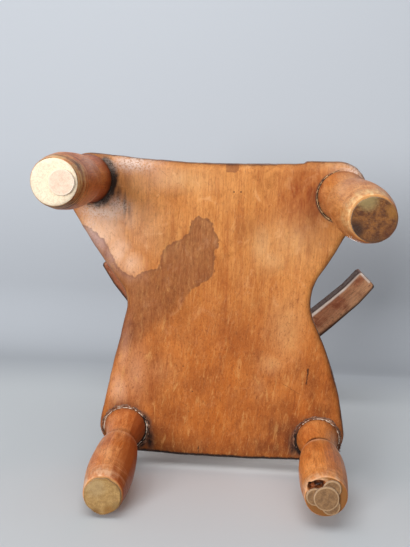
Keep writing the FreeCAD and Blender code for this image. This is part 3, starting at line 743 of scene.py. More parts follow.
def outline_distance(points, corners):
    """Signed distance of points on a level from a closed outline, positive inside, in millimetres."""
    corners = np.array(corners, float)
    nearest = np.full(len(points), np.inf)
    inside = np.zeros(len(points), bool)
    for start, end in zip(corners, np.roll(corners, -1, 0)):
        side = end - start
        share = np.clip(((points - start) @ side) / (side @ side), 0, 1)
        nearest = np.minimum(nearest, np.linalg.norm(points - start - share[:, None] * side, axis=1))
        crosses = (start[1] > points[:, 1]) != (end[1] > points[:, 1])
        with np.errstate(divide="ignore", invalid="ignore"):
            edge_x = start[0] + (points[:, 1] - start[1]) / (end[1] - start[1]) * side[0]
        inside ^= crosses & (points[:, 0] < edge_x)
    return np.where(inside, nearest, -nearest)


def soft_marks(points, marks):
    """The strongest of the soft marks at each place."""
    total = np.zeros(len(points))
    for x, y, reach_x, reach_y, strength in marks:
        square = ((points[:, 0] - x) / reach_x) ** 2 + ((points[:, 1] - y) / reach_y) ** 2
        total = np.maximum(total, strength * np.exp(-square))
    return total


def scallops(points, pitch, seed):
    """Shallow gouge strokes that meet in low ridges: 0 on the ridges and 1 in the hollows."""
    scaled = points / np.asarray(pitch)
    base = np.floor(scaled).astype(np.int64)
    nearest = np.full(len(points), np.inf)
    for step in np.ndindex(3, 3):
        cell = np.column_stack([base + np.array(step) - 1, np.zeros(len(points), np.int64)])
        jitter = np.column_stack([lattice(cell, seed), lattice(cell, seed + 1)])
        nearest = np.minimum(nearest, ((cell[:, :2] + jitter - scaled) ** 2).sum(1))
    return 1 - np.clip(nearest, 0, 1)


def from_root(flat, name):
    """The way from a leg's middle to places on the underside, and their millimetres from its root."""
    middle, radius = leg_root(name)
    away = flat - middle[:2] / MM
    distance = np.linalg.norm(away, axis=1)
    return away / distance[:, None], distance - radius / MM


def from_edge(skin, root_reach):
    """How far points of the seat are from the board's edge, in millimetres."""
    level = skin.points[:, 2]
    in_band = (level > EDGE_BAND[0]) & (level < EDGE_BAND[1])
    on_edge = in_band & (np.abs(skin.normals[:, 2]) < 0.4) & (root_reach > 0)
    tree = KDTree(int(on_edge.sum()))
    for index, point in enumerate(skin.points[on_edge]):
        tree.insert((point[0], point[1], 0), index)
    tree.balance()
    return np.array([tree.find((point[0], point[1], 0))[2] for point in skin.points]) / MM


def carve_seat(skin):
    """Tool marks and chips, and the step in the front edge that runs out towards its right corner."""
    below = smooth_step(-skin.normals[:, 2], 0.2, 0.9)
    above = smooth_step(skin.normals[:, 2], 0.2, 0.9)
    edge = 1 - below - above
    depth = below * skin.ripples(0.45 * MM, (0.035, 0.09, 0.05), 11)
    depth += below * skin.ripples(0.12 * MM, (0.008, 0.05, 0.05), 12)
    depth += edge * skin.ripples(0.7 * MM, (0.03, 0.03, 0.02), 13)
    depth += edge * skin.ripples(0.3 * MM, (0.008, 0.008, 0.008), 14)
    depth += above * 0.35 * MM * (scallops(skin.points[:, :2], (0.016, 0.026), 15) - 0.6)
    near_rim = np.abs(skin.points[:, 2] - SEAT_UNDERSIDE) < RIM_BAND
    depth += near_rim * edge * skin.dents(1.2 * MM, (0.012, 0.012, 0.010), 16, 0.6, 0.95)
    skin.carve(depth)
    x, y, _ = skin.points.T
    step = 2.4 * MM * smooth_step(x, 0.084, 0.088) - 1.8 * MM * smooth_step(x, 0.090, 0.130)
    skin.points[:, 1] -= step * smooth_step(y, -0.200, -0.205)
    skin.store()


def worked_seat():
    skin = Skin("seat_board", 1.9 * MM)
    carve_seat(skin)
    flat = skin.points[:, :2] / MM
    stain = outline_distance(flat, STAIN)
    marks = {name: soft_marks(flat, rows) for name, rows in SOFT_MARKS.items()}
    root_reach = np.full(len(flat), np.inf)
    for name, (side, spread, strength) in ROOT_SOOT_AND_SHADOW.items():
        way, reach = from_root(flat, name)
        # Soot and painted shadow in the gap between a leg's root and the seat
        gap_soot_and_shadow = strength * smooth_step(way @ side, 0.1, 0.75) * bell(np.clip(reach, 0, None), spread)
        marks["soot"] = np.maximum(marks["soot"], gap_soot_and_shadow)
        root_reach = np.minimum(root_reach, reach)
    marks["stain"] = np.clip(stain, -30, 30)
    marks["soft_stain"] = smooth_step(stain, -26, 30)
    marks["soft_side"] = smooth_step(flat[:, 1], -60, -20) * smooth_step(flat[:, 0], -30, -70)
    marks["front_stain"] = np.clip(outline_distance(flat, FRONT_STAIN), -20, 20)
    marks["root"] = np.clip(root_reach, -5, 40)
    marks["rim"] = np.clip(from_edge(skin, root_reach), 0, 40)
    for name, values in marks.items():
        skin.mark(name, values)
    skin.mark_edges()
    skin.finish(seat_finish(), "seat_wood")


def seat_finish():
    """Worn honey wood below, with stains, scuffs and dirt, and dark polish above."""
    f = Finish("seat_wood")
    colour, relief = wood_layers(f, HONEY, LEVEL, 1.0, 0.25)
    patch = f.noise((0.045, 0.06, 0.045), 5.0, 0.62, 0.4)
    smear = f.noise((0.012, 0.030, 0.012), 4.0, 0.6, 0.5)
    ragged = f.noise((0.006, 0.010, 0.006), 5.0, 0.65)
    fleck = f.noise((0.0024, 0.008, 0.0024), 4.0, 0.7, 0.3)
    fray = f.sway(ragged, 9.0)
    colour = clouded_wood(f, colour, patch, smear, fleck)
    colour = stained_wood(f, colour, smear, ragged, fray)
    colour = scuffed_wood(f, colour, fleck)
    colour = dirty_wood(f, colour, patch, smear, ragged, fray)
    colour = nicked_wood(f, colour, fleck)
    top_side = f.share(f.plus(f.axis("Z"), f.sway(ragged, 0.006)), 0.1665, 0.1705)
    colour = f.mix(top_side, colour, seat_top_colour(f, patch))
    colour = f.lay(colour, [(f.attribute("proud"), -0.12, -0.5, 0.8, DIRT_AND_SHADE)])
    f.bump(relief, 0.3 * MM, 0.55)
    rough = f.mix(top_side, f.share(patch, 0.25, 0.75, 0.46, 0.62), f.share(patch, 0.25, 0.75, 0.26, 0.4))
    return f.finish(colour, rough, Specular_IOR_Level=0.2)


def clouded_wood(f, colour, patch, smear, fleck):
    """The underside's own colour: clouds, a deeper orange towards the rear, and the soft marks."""
    cloud = f.noise((0.020, 0.026, 0.020), 5.0, 0.66, 0.8, (0, 0, 0.6))
    deep_orange = f.mix(f.share(patch, 0.35, 0.65), srgb(198, 104, 32), srgb(164, 80, 24))
    colour = f.lay(colour, [
        (smear, 0.5, 0.74, 0.4, srgb(168, 94, 42)),
        (cloud, 0.52, 0.70, 0.5, srgb(170, 104, 44)),
        (cloud, 0.46, 0.30, 0.5, srgb(240, 176, 116)),
        (fleck, 0.52, 0.72, 0.3, srgb(140, 72, 30)),
        (f.axis("Y"), -0.11, 0.05, 0.6, deep_orange),
        (patch, 0.52, 0.72, 0.3, srgb(150, 78, 32)),
    ])
    bare = f.mix(f.share(f.axis("X"), -0.12, -0.06), srgb(255, 212, 180), srgb(240, 194, 138))
    marks = [
        ("burnt", f.share(smear, 0.3, 0.68, 0.55, 1.15), 0.92, srgb(150, 70, 20)),
        ("pale", f.share(patch, 0.3, 0.65, 1.1, 0.6), 0.85, bare),
        ("dark", f.share(smear, 0.3, 0.68, 0.65, 1.15), 0.85, srgb(100, 48, 22)),
    ]
    for name, uneven, most, tone in marks:
        amount = f.times(f.attribute(name), uneven)
        colour = f.mix(f.times(amount, most, clamp=True), colour, tone)
    return colour


def stained_wood(f, colour, smear, ragged, fray):
    """The large stain, crisp with a tide line on one side and soft on the other, and a small one in front."""
    edge = f.plus(f.attribute("stain"), fray)
    crisp = f.share(edge, -0.8, 1.2)
    soft = f.share(f.plus(f.attribute("soft_stain"), f.sway(smear, 0.5)), 0.15, 0.85)
    soft_side = f.attribute("soft_side")
    crisp_side = f.without(soft_side)
    stained = f.plus(f.times(crisp, crisp_side), f.times(soft, soft_side))
    wet = f.mix(f.share(ragged, 0.4, 0.7), (0.60, 0.58, 0.74, 1), (0.50, 0.48, 0.62, 1))
    colour = f.mix(f.times(stained, 0.95), colour, wet, "MULTIPLY")
    colour = f.lay(colour, [(edge, 4.0, 1.0, 0.3, srgb(104, 62, 38))], f.times(crisp, crisp_side))
    front_edge = f.plus(f.attribute("front_stain"), f.times(fray, 0.4))
    return f.lay(colour, [(front_edge, -0.5, 1.0, 0.7, srgb(128, 72, 40))])


def scuffed_wood(f, colour, fleck):
    """Streaks, flecks and scuffs, more of them towards the rear, and long scratches."""
    streak = f.noise((0.007, 0.026, 0.007), 5.0, 0.68, 0.7, (0, 0, 0.08))
    scuff = f.noise((0.0022, 0.0032, 0.0022), 3.0, 0.7, 0.6, (0, 0, 0.5))
    colour = f.lay(colour, [
        (streak, 0.53, 0.70, 0.42, srgb(226, 166, 98)),
        (streak, 0.47, 0.30, 0.5, srgb(136, 66, 26)),
        (fleck, 0.47, 0.30, 0.18, srgb(232, 160, 92)),
        (fleck, 0.54, 0.72, 0.45, srgb(104, 50, 22)),
        (scuff, 0.55, 0.70, 0.55, srgb(120, 58, 24)),
        (scuff, 0.43, 0.30, 0.28, srgb(226, 158, 96)),
    ], f.share(f.axis("Y"), -0.12, 0.06, 0.5, 1.0))
    for turn, tone in ((0.2, srgb(238, 182, 124)), (-0.9, srgb(104, 54, 28))):
        scratches = f.noise((0.0009, 0.034, 0.0009), 1.0, turn=(0, 0, turn))
        colour = f.lay(colour, [(scratches, 0.66, 0.76, 0.22, tone)])
    return colour


def dirty_wood(f, colour, patch, smear, ragged, fray):
    """Dirt and painted shade along the rim, a painted shadow line along the rear edge, dirt round the roots,
    soot with painted shadow, and specks of white and black.
    """
    x, y = f.axis("X"), f.axis("Y")
    # Darker rim, mostly on the left and at the rear: dirt, and painted shade where the board rounds off
    rim = f.plus(f.attribute("rim"), f.times(fray, 0.6))
    dirty_and_shaded_edges = f.math("MAXIMUM", f.share(x, -0.150, -0.105), f.share(y, 0.105, 0.135))
    uneven = f.times(f.share(patch, 0.35, 0.65, 0.45, 1.0), f.share(dirty_and_shaded_edges, 0.0, 1.0, 0.2, 1.0))
    colour = f.lay(colour, [
        (rim, 7.0, 0.5, 0.4, srgb(116, 60, 30)),
        (rim, 1.8, 0.2, 0.75, srgb(66, 34, 20)),
    ], uneven)
    # Painted shadow: a black line along the rear edge, where the board nears the floor
    colour = f.lay(colour, [(rim, 7.0, 4.2, 0.95, SOOT_AND_SHADE)], f.share(y, 0.168, 0.178))
    root = f.plus(f.attribute("root"), f.times(fray, 1.2))
    colour = f.lay(colour, [
        (root, 12.0, 1.0, 0.5, srgb(104, 52, 28)),
        (root, 4.5, 0.5, 0.5, srgb(60, 34, 22)),
    ], f.share(y, -0.05, 0.05, 0.35, 1.0))
    # Soot and painted shadow: black in the gaps at the roots and beside the front left leg
    soot = f.times(f.attribute("soot"), f.share(ragged, 0.3, 0.6, 0.7, 1.2))
    colour = f.lay(colour, [
        (soot, 0.15, 0.5, 0.5, srgb(104, 70, 54)),
        (soot, 0.4, 0.95, 0.95, SOOT_AND_SHADE),
    ])
    specks = f.noise((0.0026, 0.0026, 0.0026), 3.0, 0.7)
    speckle = f.times(f.attribute("speckle"), f.share(smear, 0.3, 0.55, 0.5, 1.0))
    white = f.times(speckle, f.share(specks, 0.40, 0.54, 0.3, 1.0), clamp=True)
    colour = f.mix(white, colour, srgb(240, 214, 198))
    return f.lay(colour, [(specks, 0.38, 0.30, 0.9, srgb(70, 44, 32))], speckle)


def nicked_wood(f, colour, fleck):
    """Round nicks and thin ragged cracks in the underside."""
    x, y, z = f.axis("X"), f.axis("Y"), f.axis("Z")
    for nick_x, nick_y, radius in NICKS:
        reach = f.distance(f.place, (nick_x * MM, nick_y * MM, SEAT_UNDERSIDE))
        colour = f.lay(colour, [(reach, radius * MM, radius * 0.4 * MM, 0.8, SOOT_AND_SHADE)])
    below = f.share(z, 0.170, 0.166, 0.0, 0.8)
    for crack_x, middle, half_length, half_width, slant in CRACKS:
        along = f.minus(y, middle * MM)
        across = f.minus(f.minus(x, crack_x * MM), f.times(along, slant))
        across = f.math("ABSOLUTE", f.plus(across, f.sway(fleck, 6.0 * MM)))
        ends = f.share(f.math("ABSOLUTE", along), half_length * MM, half_length * 0.7 * MM)
        thin = (across, half_width * MM, half_width * 0.3 * MM, 1.0, SOOT_AND_SHADE)
        colour = f.lay(colour, [thin], f.times(ends, below))
    return colour


def seat_top_colour(f, patch):
    """Dark polish, worn through where the seat is dished."""
    z = f.axis("Z")
    colour, _ = wood_layers(f, DARK_POLISH, LEVEL)
    uneven = f.times(f.share(z, 0.176, 0.182), f.share(patch, 0.3, 0.6, 0.35, 0.8))
    colour = f.lay(colour, [(z, 0.1905, 0.1862, 1.0, srgb(142, 90, 56))], uneven)
    return f.lay(colour, [(f.attribute("proud"), 0.05, 0.35, 0.7, srgb(150, 100, 66))])


# Back

# Each arm's seed, the way it runs from the crest and its tones
ARMS = {
    "left": (61, math.atan2(-0.8028, -0.5962), LEFT_BROWN),
    "right": (71, math.atan2(-0.7325, 0.6807), RAIL_BROWN),
}
# How far an arm bows outwards: distance from its tip and shift (millimetres)
ARM_BEND = [(0, 0), (40, 2.3), (75, 0), (100, -1.6), (126, -4.2), (145, -4.2), (188, 0), (260, 0)]
ARM_LINE = 13.5 * MM                     # the incised lines' distance from the middle of an arm's side
POST_RINGS = (-70, -62, -4, 4, 62, 70)   # millimetres from a post's middle
LINE_HALF_WIDTH = 0.9 * MM
LINE_DEPTH = 0.8 * MM
PETAL_TURN = math.pi / 3
PETAL_HALF_WIDTH = 0.29                  # this and the ring are shares of a rosette's radius
RING_REACH = 1.13
RING_HALF_WIDTH = 0.08
RING_DEPTH = 0.45                        # a share of the petals' depth
CHIP_PITCH = 9 * MM
CHIP_FLOOR = 0.34                        # where a chip's sides meet, as a share of its height
SPLAT_HALF_WIDTHS = (48 * MM, 28 * MM, 42 * MM)       # at its foot, waist and head
SPLAT_STRAIGHTS = (22 * MM, 30 * MM)     # lengths at the foot and the head before it narrows
FAN_RISE = 10 * MM
FAN_FLUTES = 9
CAP_HALF_ANGLE = math.radians(34)
NULL_PITCH = 8.6 * MM
WHEEL_RISE = 26.5 * MM


def turned_back(y, z):
    """A place behind the middle of the crest's curve, at a level, in the chair's frame."""
    place = CREST_MIDDLE + Matrix.Rotation(BACK_TURN, 3, "Z") @ Vector((0, y, 0))
    place.z = z
    return place


def polish_finish(name, turn, tones=RAIL_BROWN):
    """Dark polish, rubbed on the edges, hazy where it is worn below, with painted shade on an arm's inner
    side and outer edge and a painted highlight along its inner edge and tip.
    """
    light, _, deep, black = tones
    f = Finish(name)
    colour, relief = wood_layers(f, tones, turn)
    proud = f.attribute("proud")
    below = f.attribute("worn_below")
    inner_side_shade = f.attribute("inner_side_shade")
    rubs = f.noise((0.02, 0.02, 0.02), 4.0, 0.6)
    specks = f.noise((0.0035, 0.0035, 0.0035), 3.0, 0.7)
    colour = f.lay(colour, [(rubs, 0.5, 0.72, 0.5, deep)])
    colour = f.mix(f.times(f.without(below), 0.72), colour, f.mix(0.4, deep, black))
    rubbed = (proud, 0.06, 0.35, 0.7, srgb(196, 150, 116))
    colour = f.lay(colour, [rubbed], f.share(rubs, 0.35, 0.65, 0.1, 0.8))
    colour = f.lay(colour, [(proud, -0.04, -0.3, 0.85, srgb(34, 20, 14))])
    colour = f.mix(f.times(below, f.share(rubs, 0.38, 0.62, 0.35, 0.0)), colour, light)
    colour = f.lay(colour, [
        (specks, 0.60, 0.76, 0.5, srgb(206, 172, 150)),
        (specks, 0.42, 0.28, 0.6, black),
    ])
    # Painted shade on an arm's inner side and outer edge, and a painted highlight along its inner edge and
    # tip
    for dark, most in ((inner_side_shade, 0.85), (f.attribute("outer_edge_shade"), 0.9)):
        colour = f.mix(f.times(dark, most), colour, black)
    highlight = f.times(f.attribute("inner_edge_highlight"), f.share(rubs, 0.3, 0.6, 1.0, 0.7))
    colour = f.mix(highlight, colour, srgb(255, 238, 224))
    colour = f.mix(f.attribute("tip_corner"), colour, SOOT_AND_SHADE)
    f.bump(relief, 0.22 * MM, 0.5)
    rough = f.math("MAXIMUM", f.share(rubs, 0.25, 0.75, 0.3, 0.5), f.times(inner_side_shade, 0.9))
    return f.finish(colour, rough, Specular_IOR_Level=0.2, Coat_Weight=0.02, Coat_Roughness=0.15)


def hand_worked(skin, seed):
    """The unevenness of a piece shaped by hand."""
    depth = skin.ripples(0.35 * MM, (0.03, 0.03, 0.03), seed)
    depth += skin.ripples(0.10 * MM, (0.006, 0.006, 0.006), seed + 1)
    depth += skin.dents(0.7 * MM, (0.010, 0.010, 0.010), seed + 2, 0.68, 0.97)
    skin.carve(depth)


def vee(distance, half_width):
    """A V-shaped cut along a line: 1 on the line and 0 at the cut's edges."""
    return np.clip(1 - np.abs(distance) / half_width, 0, 1)


def incised_line(distance):
    """A fine cut line, as depth."""
    return vee(distance, LINE_HALF_WIDTH) * LINE_DEPTH


def rosette(across, up, radius, depth):
    """Six chip-cut petals in a ring, as depth."""
    reach, angle = np.hypot(across, up), np.arctan2(up, across)
    petal = (angle + PETAL_TURN / 2) % PETAL_TURN - PETAL_TURN / 2
    along, aside = reach * np.cos(petal) / radius, np.abs(reach * np.sin(petal)) / radius
    half_width = PETAL_HALF_WIDTH * np.sqrt(np.clip(1 - (2 * along - 1) ** 2, 0, 1))
    cut = np.clip(half_width - aside, 0, None) / PETAL_HALF_WIDTH
    ring = vee(reach / radius - RING_REACH, RING_HALF_WIDTH) * RING_DEPTH
    return depth * np.maximum(cut, ring)


def chip_row(along, across, height, depth):
    """A row of three-cornered chips standing on a line, as depth."""
    step = np.abs((along / CHIP_PITCH) % 1 - 0.5) * 2
    up = across / height
    inside = np.minimum(np.minimum(up, 1 - up - step), CHIP_FLOOR)
    return depth * np.clip(inside, 0, None) / CHIP_FLOOR


def splat_half_width(rise, length):
    """Half the splat's width at a rise above the seat."""
    foot, waist, head = SPLAT_HALF_WIDTHS
    lower = np.clip((SPLAT_WAIST_RISE - rise) / (SPLAT_WAIST_RISE - SPLAT_STRAIGHTS[0]), 0, 1)
    upper = np.clip((rise - SPLAT_WAIST_RISE) / (length - SPLAT_STRAIGHTS[1] - SPLAT_WAIST_RISE), 0, 1)
    return waist + (foot - waist) * lower ** 2 + (head - waist) * upper ** 2


def fan_depth(across, up):
    """A fan of flutes that opens upwards, as depth."""
    reach, angle = np.hypot(across, up), np.arctan2(across, up)
    flutes = np.abs(np.sin(angle * FAN_FLUTES)) ** 0.7
    shown = smooth_step(reach, 9 * MM, 13 * MM) * smooth_step(reach, 62 * MM, 57 * MM)
    return 1.9 * MM * flutes * (shown * smooth_step(np.abs(angle), 0.56, 0.5))


def worked_splat(material):
    skin = Skin("back_splat", 1.15 * MM)
    foot, head = turned_back(SPLAT_FOOT, SEAT_TOP), turned_back(CREST_RADIUS, RAIL_FLOOR)
    length = (head - foot).length
    upward = np.array((head - foot).normalized())
    sideways = np.array((math.cos(BACK_TURN), math.sin(BACK_TURN), 0))
    forward = np.cross(sideways, upward)
    offset = skin.points - np.array(foot)
    across, rise = offset @ sideways, offset @ upward
    on_front = smooth_step(skin.normals @ forward, 0.6, 0.9)
    on_back = smooth_step(-(skin.normals @ forward), 0.6, 0.9)
    shown = smooth_step(rise, 2 * MM, 5 * MM) * smooth_step(rise, length - 2 * MM, length - 5 * MM)
    inset = splat_half_width(rise, length) - np.abs(across)
    from_waist = rise - SPLAT_WAIST_RISE
    front = np.maximum.reduce([
        rosette(across, from_waist, 19 * MM, 2.4 * MM),
        rosette(across, rise - (length - 44 * MM), 26 * MM, 2.6 * MM),
        chip_row(rise, inset - 3.5 * MM, 7 * MM, 1.8 * MM),
        incised_line(inset - 2.4 * MM),
        fan_depth(across, rise - FAN_RISE),
    ])
    back = np.maximum(
        chip_row(rise, inset - 3.5 * MM, 7 * MM, 1.5 * MM),
        rosette(across, from_waist, 18 * MM, 1.8 * MM),
    )
    skin.carve((on_front * front + on_back * back) * shown)
    hand_worked(skin, 31)
    skin.mark_edges()
    skin.finish(material, "back_wood")


def worked_crest(material):
    skin = Skin("crest", 1.2 * MM)
    offset = skin.points - np.array(CREST_MIDDLE)
    reach = np.hypot(offset[:, 0], offset[:, 1])
    angle = np.arctan2(-offset[:, 0], offset[:, 1]) - BACK_TURN
    outward = (skin.normals[:, :2] * (offset[:, :2] / reach[:, None])).sum(1)
    on_faces = smooth_step(-outward, 0.6, 0.9) + smooth_step(outward, 0.6, 0.9)
    height = skin.points[:, 2] - RAIL_FLOOR
    run = angle * CREST_RADIUS
    half_run = CAP_HALF_ANGLE * CREST_RADIUS
    in_cap = smooth_step(np.abs(run), half_run - 3 * MM, half_run - 5 * MM)
    in_curve = smooth_step(np.abs(angle), CREST_HALF_ANGLE, CREST_HALF_ANGLE - 0.03)
    nulls = np.abs(np.sin(run / NULL_PITCH * math.pi)) ** 0.8
    band = smooth_step(height, RAIL_DEPTH + 2 * MM, RAIL_DEPTH + 5 * MM)
    band *= smooth_step(height, RAIL_DEPTH + 19 * MM, RAIL_DEPTH + 15 * MM)
    face = np.maximum.reduce([
        chip_row(run, height - 6 * MM, 8 * MM, 1.7 * MM),
        incised_line(height - 4.6 * MM),
        incised_line(height - 38.5 * MM),
        rosette(run, height - WHEEL_RISE, 11 * MM, 1.9 * MM),
        rosette(np.abs(run) - 30 * MM, height - WHEEL_RISE, 8.5 * MM, 1.6 * MM),
    ])
    depth = 2.0 * MM * nulls * band * in_cap * on_faces
    depth += face * in_curve * on_faces
    skin.carve(depth)
    hand_worked(skin, 41)
    skin.mark_edges()
    skin.finish(material, "back_wood")


def worked_arm(name, seed, direction, material):
    """An arm, bowed a little by hand along its run from the tip to the lap."""
    skin = Skin(f"{name}_arm", 1.2 * MM)
    height = skin.points[:, 2] - RAIL_FLOOR
    on_side = smooth_step(np.abs(skin.normals[:, 2]), 0.4, 0.15)
    skin.carve(incised_line(np.abs(height - RAIL_DEPTH / 2) - ARM_LINE) * on_side)
    hand_worked(skin, seed)
    along = np.array((math.cos(direction), math.sin(direction), 0))
    outward = np.array((-along[1], along[0], 0)) * np.sign(along[0])
    reach, across = skin.points @ along, skin.points @ outward
    from_tip = reach.max() - reach
    straight = across[(from_tip > 20 * MM) & (from_tip < 90 * MM)]
    from_inner = np.hypot(across - straight.min(), height)
    from_outer = np.hypot(straight.max() - across, height)
    from_end = np.where(across < straight.mean() + 6 * MM, np.hypot(from_tip, height), 1.0)
    skin.mark("worn_below", smooth_step(-skin.normals[:, 2], 0.45, 0.85))
    # Where the finish paints shade on the inner side and outer edge, and a highlight along the inner edge and
    # the tip's end
    skin.mark("inner_side_shade", smooth_step(-(skin.normals @ outward), 0.5, 0.9))
    skin.mark("inner_edge_highlight", smooth_step(np.minimum(from_inner, from_end), 5.2 * MM, 2.6 * MM))
    skin.mark("outer_edge_shade", smooth_step(from_outer, 8.0 * MM, 2.5 * MM))
    skin.mark("tip_corner", smooth_step(np.hypot(from_outer, from_tip), 9 * MM, 5 * MM))
    distances, shifts = np.array(ARM_BEND).T * MM
    skin.points += outward * np.interp(from_tip, distances, shifts)[:, None]
    skin.points = relax(skin.points, skin.edges, 1)
    skin.store()
    skin.mark_edges()
    skin.finish(material, "back_wood")


def worked_post(name, seed, material):
    node = f"{name}_post"
    skin = Skin(node, 1.1 * MM)
    foot, top = end_middles(node)
    height, _, on_side = along_axis(skin, foot, top)
    middle = np.linalg.norm(top - foot) / 2
    rings = np.maximum.reduce([vee(height - middle - ring * MM, 1.6 * MM) for ring in POST_RINGS])
    skin.carve((1.1 * MM * rings) * on_side)
    skin.carve(facet_depth(skin, foot, top, seed) * 0.6)
    hand_worked(skin, seed + 3)
    skin.mark_edges()
    skin.finish(material, "back_wood")


# Geometry Nodes trees


def new_tree(name, inputs):
    """A tree that takes and gives a piece, with other named inputs, and those inputs' identifiers."""
    tree = bpy.data.node_groups.new(name, "GeometryNodeTree")
    tree.interface.new_socket("Piece", in_out="INPUT", socket_type="NodeSocketGeometry")
    identifiers = {}
    for label, kind in inputs.items():
        socket = tree.interface.new_socket(label, in_out="INPUT", socket_type=f"NodeSocket{kind}")
        identifiers[label] = socket.identifier
    tree.interface.new_socket("Piece", in_out="OUTPUT", socket_type="NodeSocketGeometry")
    return Nodes(tree), identifiers


def join(g, *parts):
    """Several parts as one geometry."""
    joined = g.add("GeometryNodeJoinGeometry")
    for part in parts:
        g.feed(joined.inputs[0], part)
    return joined.outputs[0]


def real(g, instances):
    """Instances as real geometry."""
    return g.add("GeometryNodeRealizeInstances", {"Geometry": instances}).outputs["Geometry"]


def end_tree(g, geometry, material):
    """Paints what a tree made, and gives it out."""
    painted = g.add("GeometryNodeSetMaterial", {"Geometry": geometry, "Material": material})
    g.feed(g.add("NodeGroupOutput").inputs[0], painted.outputs[0])


def random_vector(g, low, high, seed):
    inputs = {0: low, 1: high, "Seed": seed}
    return g.add("FunctionNodeRandomValue", inputs, data_type="FLOAT_VECTOR").outputs[0]


def run_tree(piece, g, identifiers, values):
    """Runs a tree on a piece with given values, and makes the result a plain mesh."""
    modifier = piece.modifiers.new("tree", "NODES")
    modifier.node_group = g.tree
    for label, value in values.items():
        modifier[identifiers[label]] = value
    make_plain(piece)


# Felt

DISC_POINTS = 96             # round a disc
FLAT_RINGS = 12
RIM_RINGS = 7
FLAT_SHARE = 0.96            # of a disc's radius, before its rim rolls up
RIM_RISE = 1.1 * MM
FIBRES = {"Density": 1.1e6, "Length": 1.1 * MM}
FIBRE_TIP = 0.02 * MM
FIBRE_ROOT = 0.11 * MM
SMALL_PAD_RADIUS = 10 * MM
SMALL_PAD_SPREAD = 12.01 * MM
SMALL_PAD_TURN = math.radians(60)
# Each pad's light and dark tone and the tone of its cut edge
FELT_TONES = {
    "front_left": (srgb(255, 234, 212), srgb(246, 216, 192), srgb(255, 240, 218)),
    "front_right": (srgb(156, 100, 46), srgb(88, 46, 20), srgb(108, 70, 34)),
    "rear_left": (srgb(198, 160, 100), srgb(166, 126, 72), srgb(146, 106, 50)),
    "rear_right": (srgb(166, 126, 84), srgb(130, 94, 60), srgb(206, 170, 130)),
}
# Marks on a pad: place from its middle and reach (millimetres), strength and tone
FELT_MARKS = {
    "front_right": [
        (-8, -20, 15, 0.75, srgb(160, 140, 92)), (20, -10, 12, 0.6, srgb(164, 112, 46)),
        (-19, 11, 13, 0.9, srgb(54, 32, 20)), (4, 24, 12, 0.6, srgb(66, 38, 22)),
        (17, 14, 11, 0.6, srgb(88, 42, 20)),
    ],
    "rear_left": [
        (-8, -10, 16, 0.5, srgb(186, 160, 118)), (8, 17, 10, 0.7, srgb(140, 92, 26)),
        (-8, 20, 9, 0.7, srgb(122, 80, 30)), (16, 10, 7, 0.5, srgb(110, 76, 30)),
    ],
}
PAD_FRAY = {"rear_left": 0.05}
USUAL_FRAY = 0.02


def felt_profile(radius, floor, top):
    """Reach and level of a disc's rings, from the middle of its floor round the rim to its top."""
    profile = [(radius * ring / FLAT_RINGS * FLAT_SHARE, floor) for ring in range(1, FLAT_RINGS + 1)]
    for ring in range(1, RIM_RINGS + 1):
        angle = math.pi / 2 * ring / RIM_RINGS
        reach = radius * FLAT_SHARE + radius * (1 - FLAT_SHARE) * math.sin(angle)
        profile.append((reach, floor + RIM_RISE * (1 - math.cos(angle))))
    return profile + [(radius, top - 0.4 * MM), (radius - 0.5 * MM, top), (radius * 0.5, top)]


def felt_disc(radius, floor, top, seed, fray):
    """Points and faces of a trodden felt disc about the origin."""
    profile = felt_profile(radius, floor, top)
    turn = np.arange(DISC_POINTS) * 2 * math.pi / DISC_POINTS
    rings = []
    for reach, level in profile:
        levels = np.full(DISC_POINTS, level)
        rings.append(np.column_stack([reach * np.cos(turn), reach * np.sin(turn), levels]))
    points = np.vstack([[(0, 0, floor)], *rings, [(0, 0, top)]])
    out = np.hypot(points[:, 0], points[:, 1]) / radius
    seeded = points + seed * 0.37
    points[:, :2] *= 1 + fray * out[:, None] ** 4 * noise(seeded, (0.006, 0.006, 0.02), seed)[:, None]
    bottom = points[:, 2] < (floor + top) / 2
    lumps = 0.5 + 0.5 * noise(seeded, (0.007, 0.007, 0.05), seed + 1)
    fine = 0.5 + 0.5 * noise(seeded, (0.0016, 0.0016, 0.01), seed + 2)
    points[:, 2] += np.where(bottom, (0.35 * lumps + 0.18 * fine) * MM, 0)
    faces = []
    last = 1 + (len(profile) - 1) * DISC_POINTS
    for k in range(DISC_POINTS):
        after = (k + 1) % DISC_POINTS
        faces.append((0, 1 + after, 1 + k))
        for low in range(1, last, DISC_POINTS):
            high = low + DISC_POINTS
            faces.append((low + k, low + after, high + after, high + k))
        faces.append((last + k, last + after, len(points) - 1))
    return points, faces


def fuzz_tree(material):
    """Short felt fibres standing on a pad."""
    g, identifiers = new_tree("felt_fuzz", {"Density": "Float", "Length": "Float", "Seed": "Int"})
    given = g.add("NodeGroupInput").outputs
    pad, seed = given["Piece"], given["Seed"]
    spots = g.add("GeometryNodeDistributePointsOnFaces", {
        "Mesh": pad, "Density": given["Density"], "Seed": seed})
    fibre = g.add("GeometryNodeMeshCone", {
        "Vertices": 3, "Radius Top": FIBRE_TIP, "Radius Bottom": FIBRE_ROOT, "Depth": given["Length"]})
    lean = random_vector(g, (-1.1, -1.1, 0.0), (1.1, 1.1, 6.28), seed)
    turned = g.add("FunctionNodeRotateRotation", {"Rotation": spots.outputs["Rotation"], "Rotate By": lean},
                   rotation_space="LOCAL")
    fibres = g.add("GeometryNodeInstanceOnPoints", {
        "Points": spots.outputs["Points"], "Instance": fibre.outputs["Mesh"], "Rotation": turned.outputs[0]})
    end_tree(g, join(g, real(g, fibres.outputs["Instances"]), pad), material)
    return g, identifiers


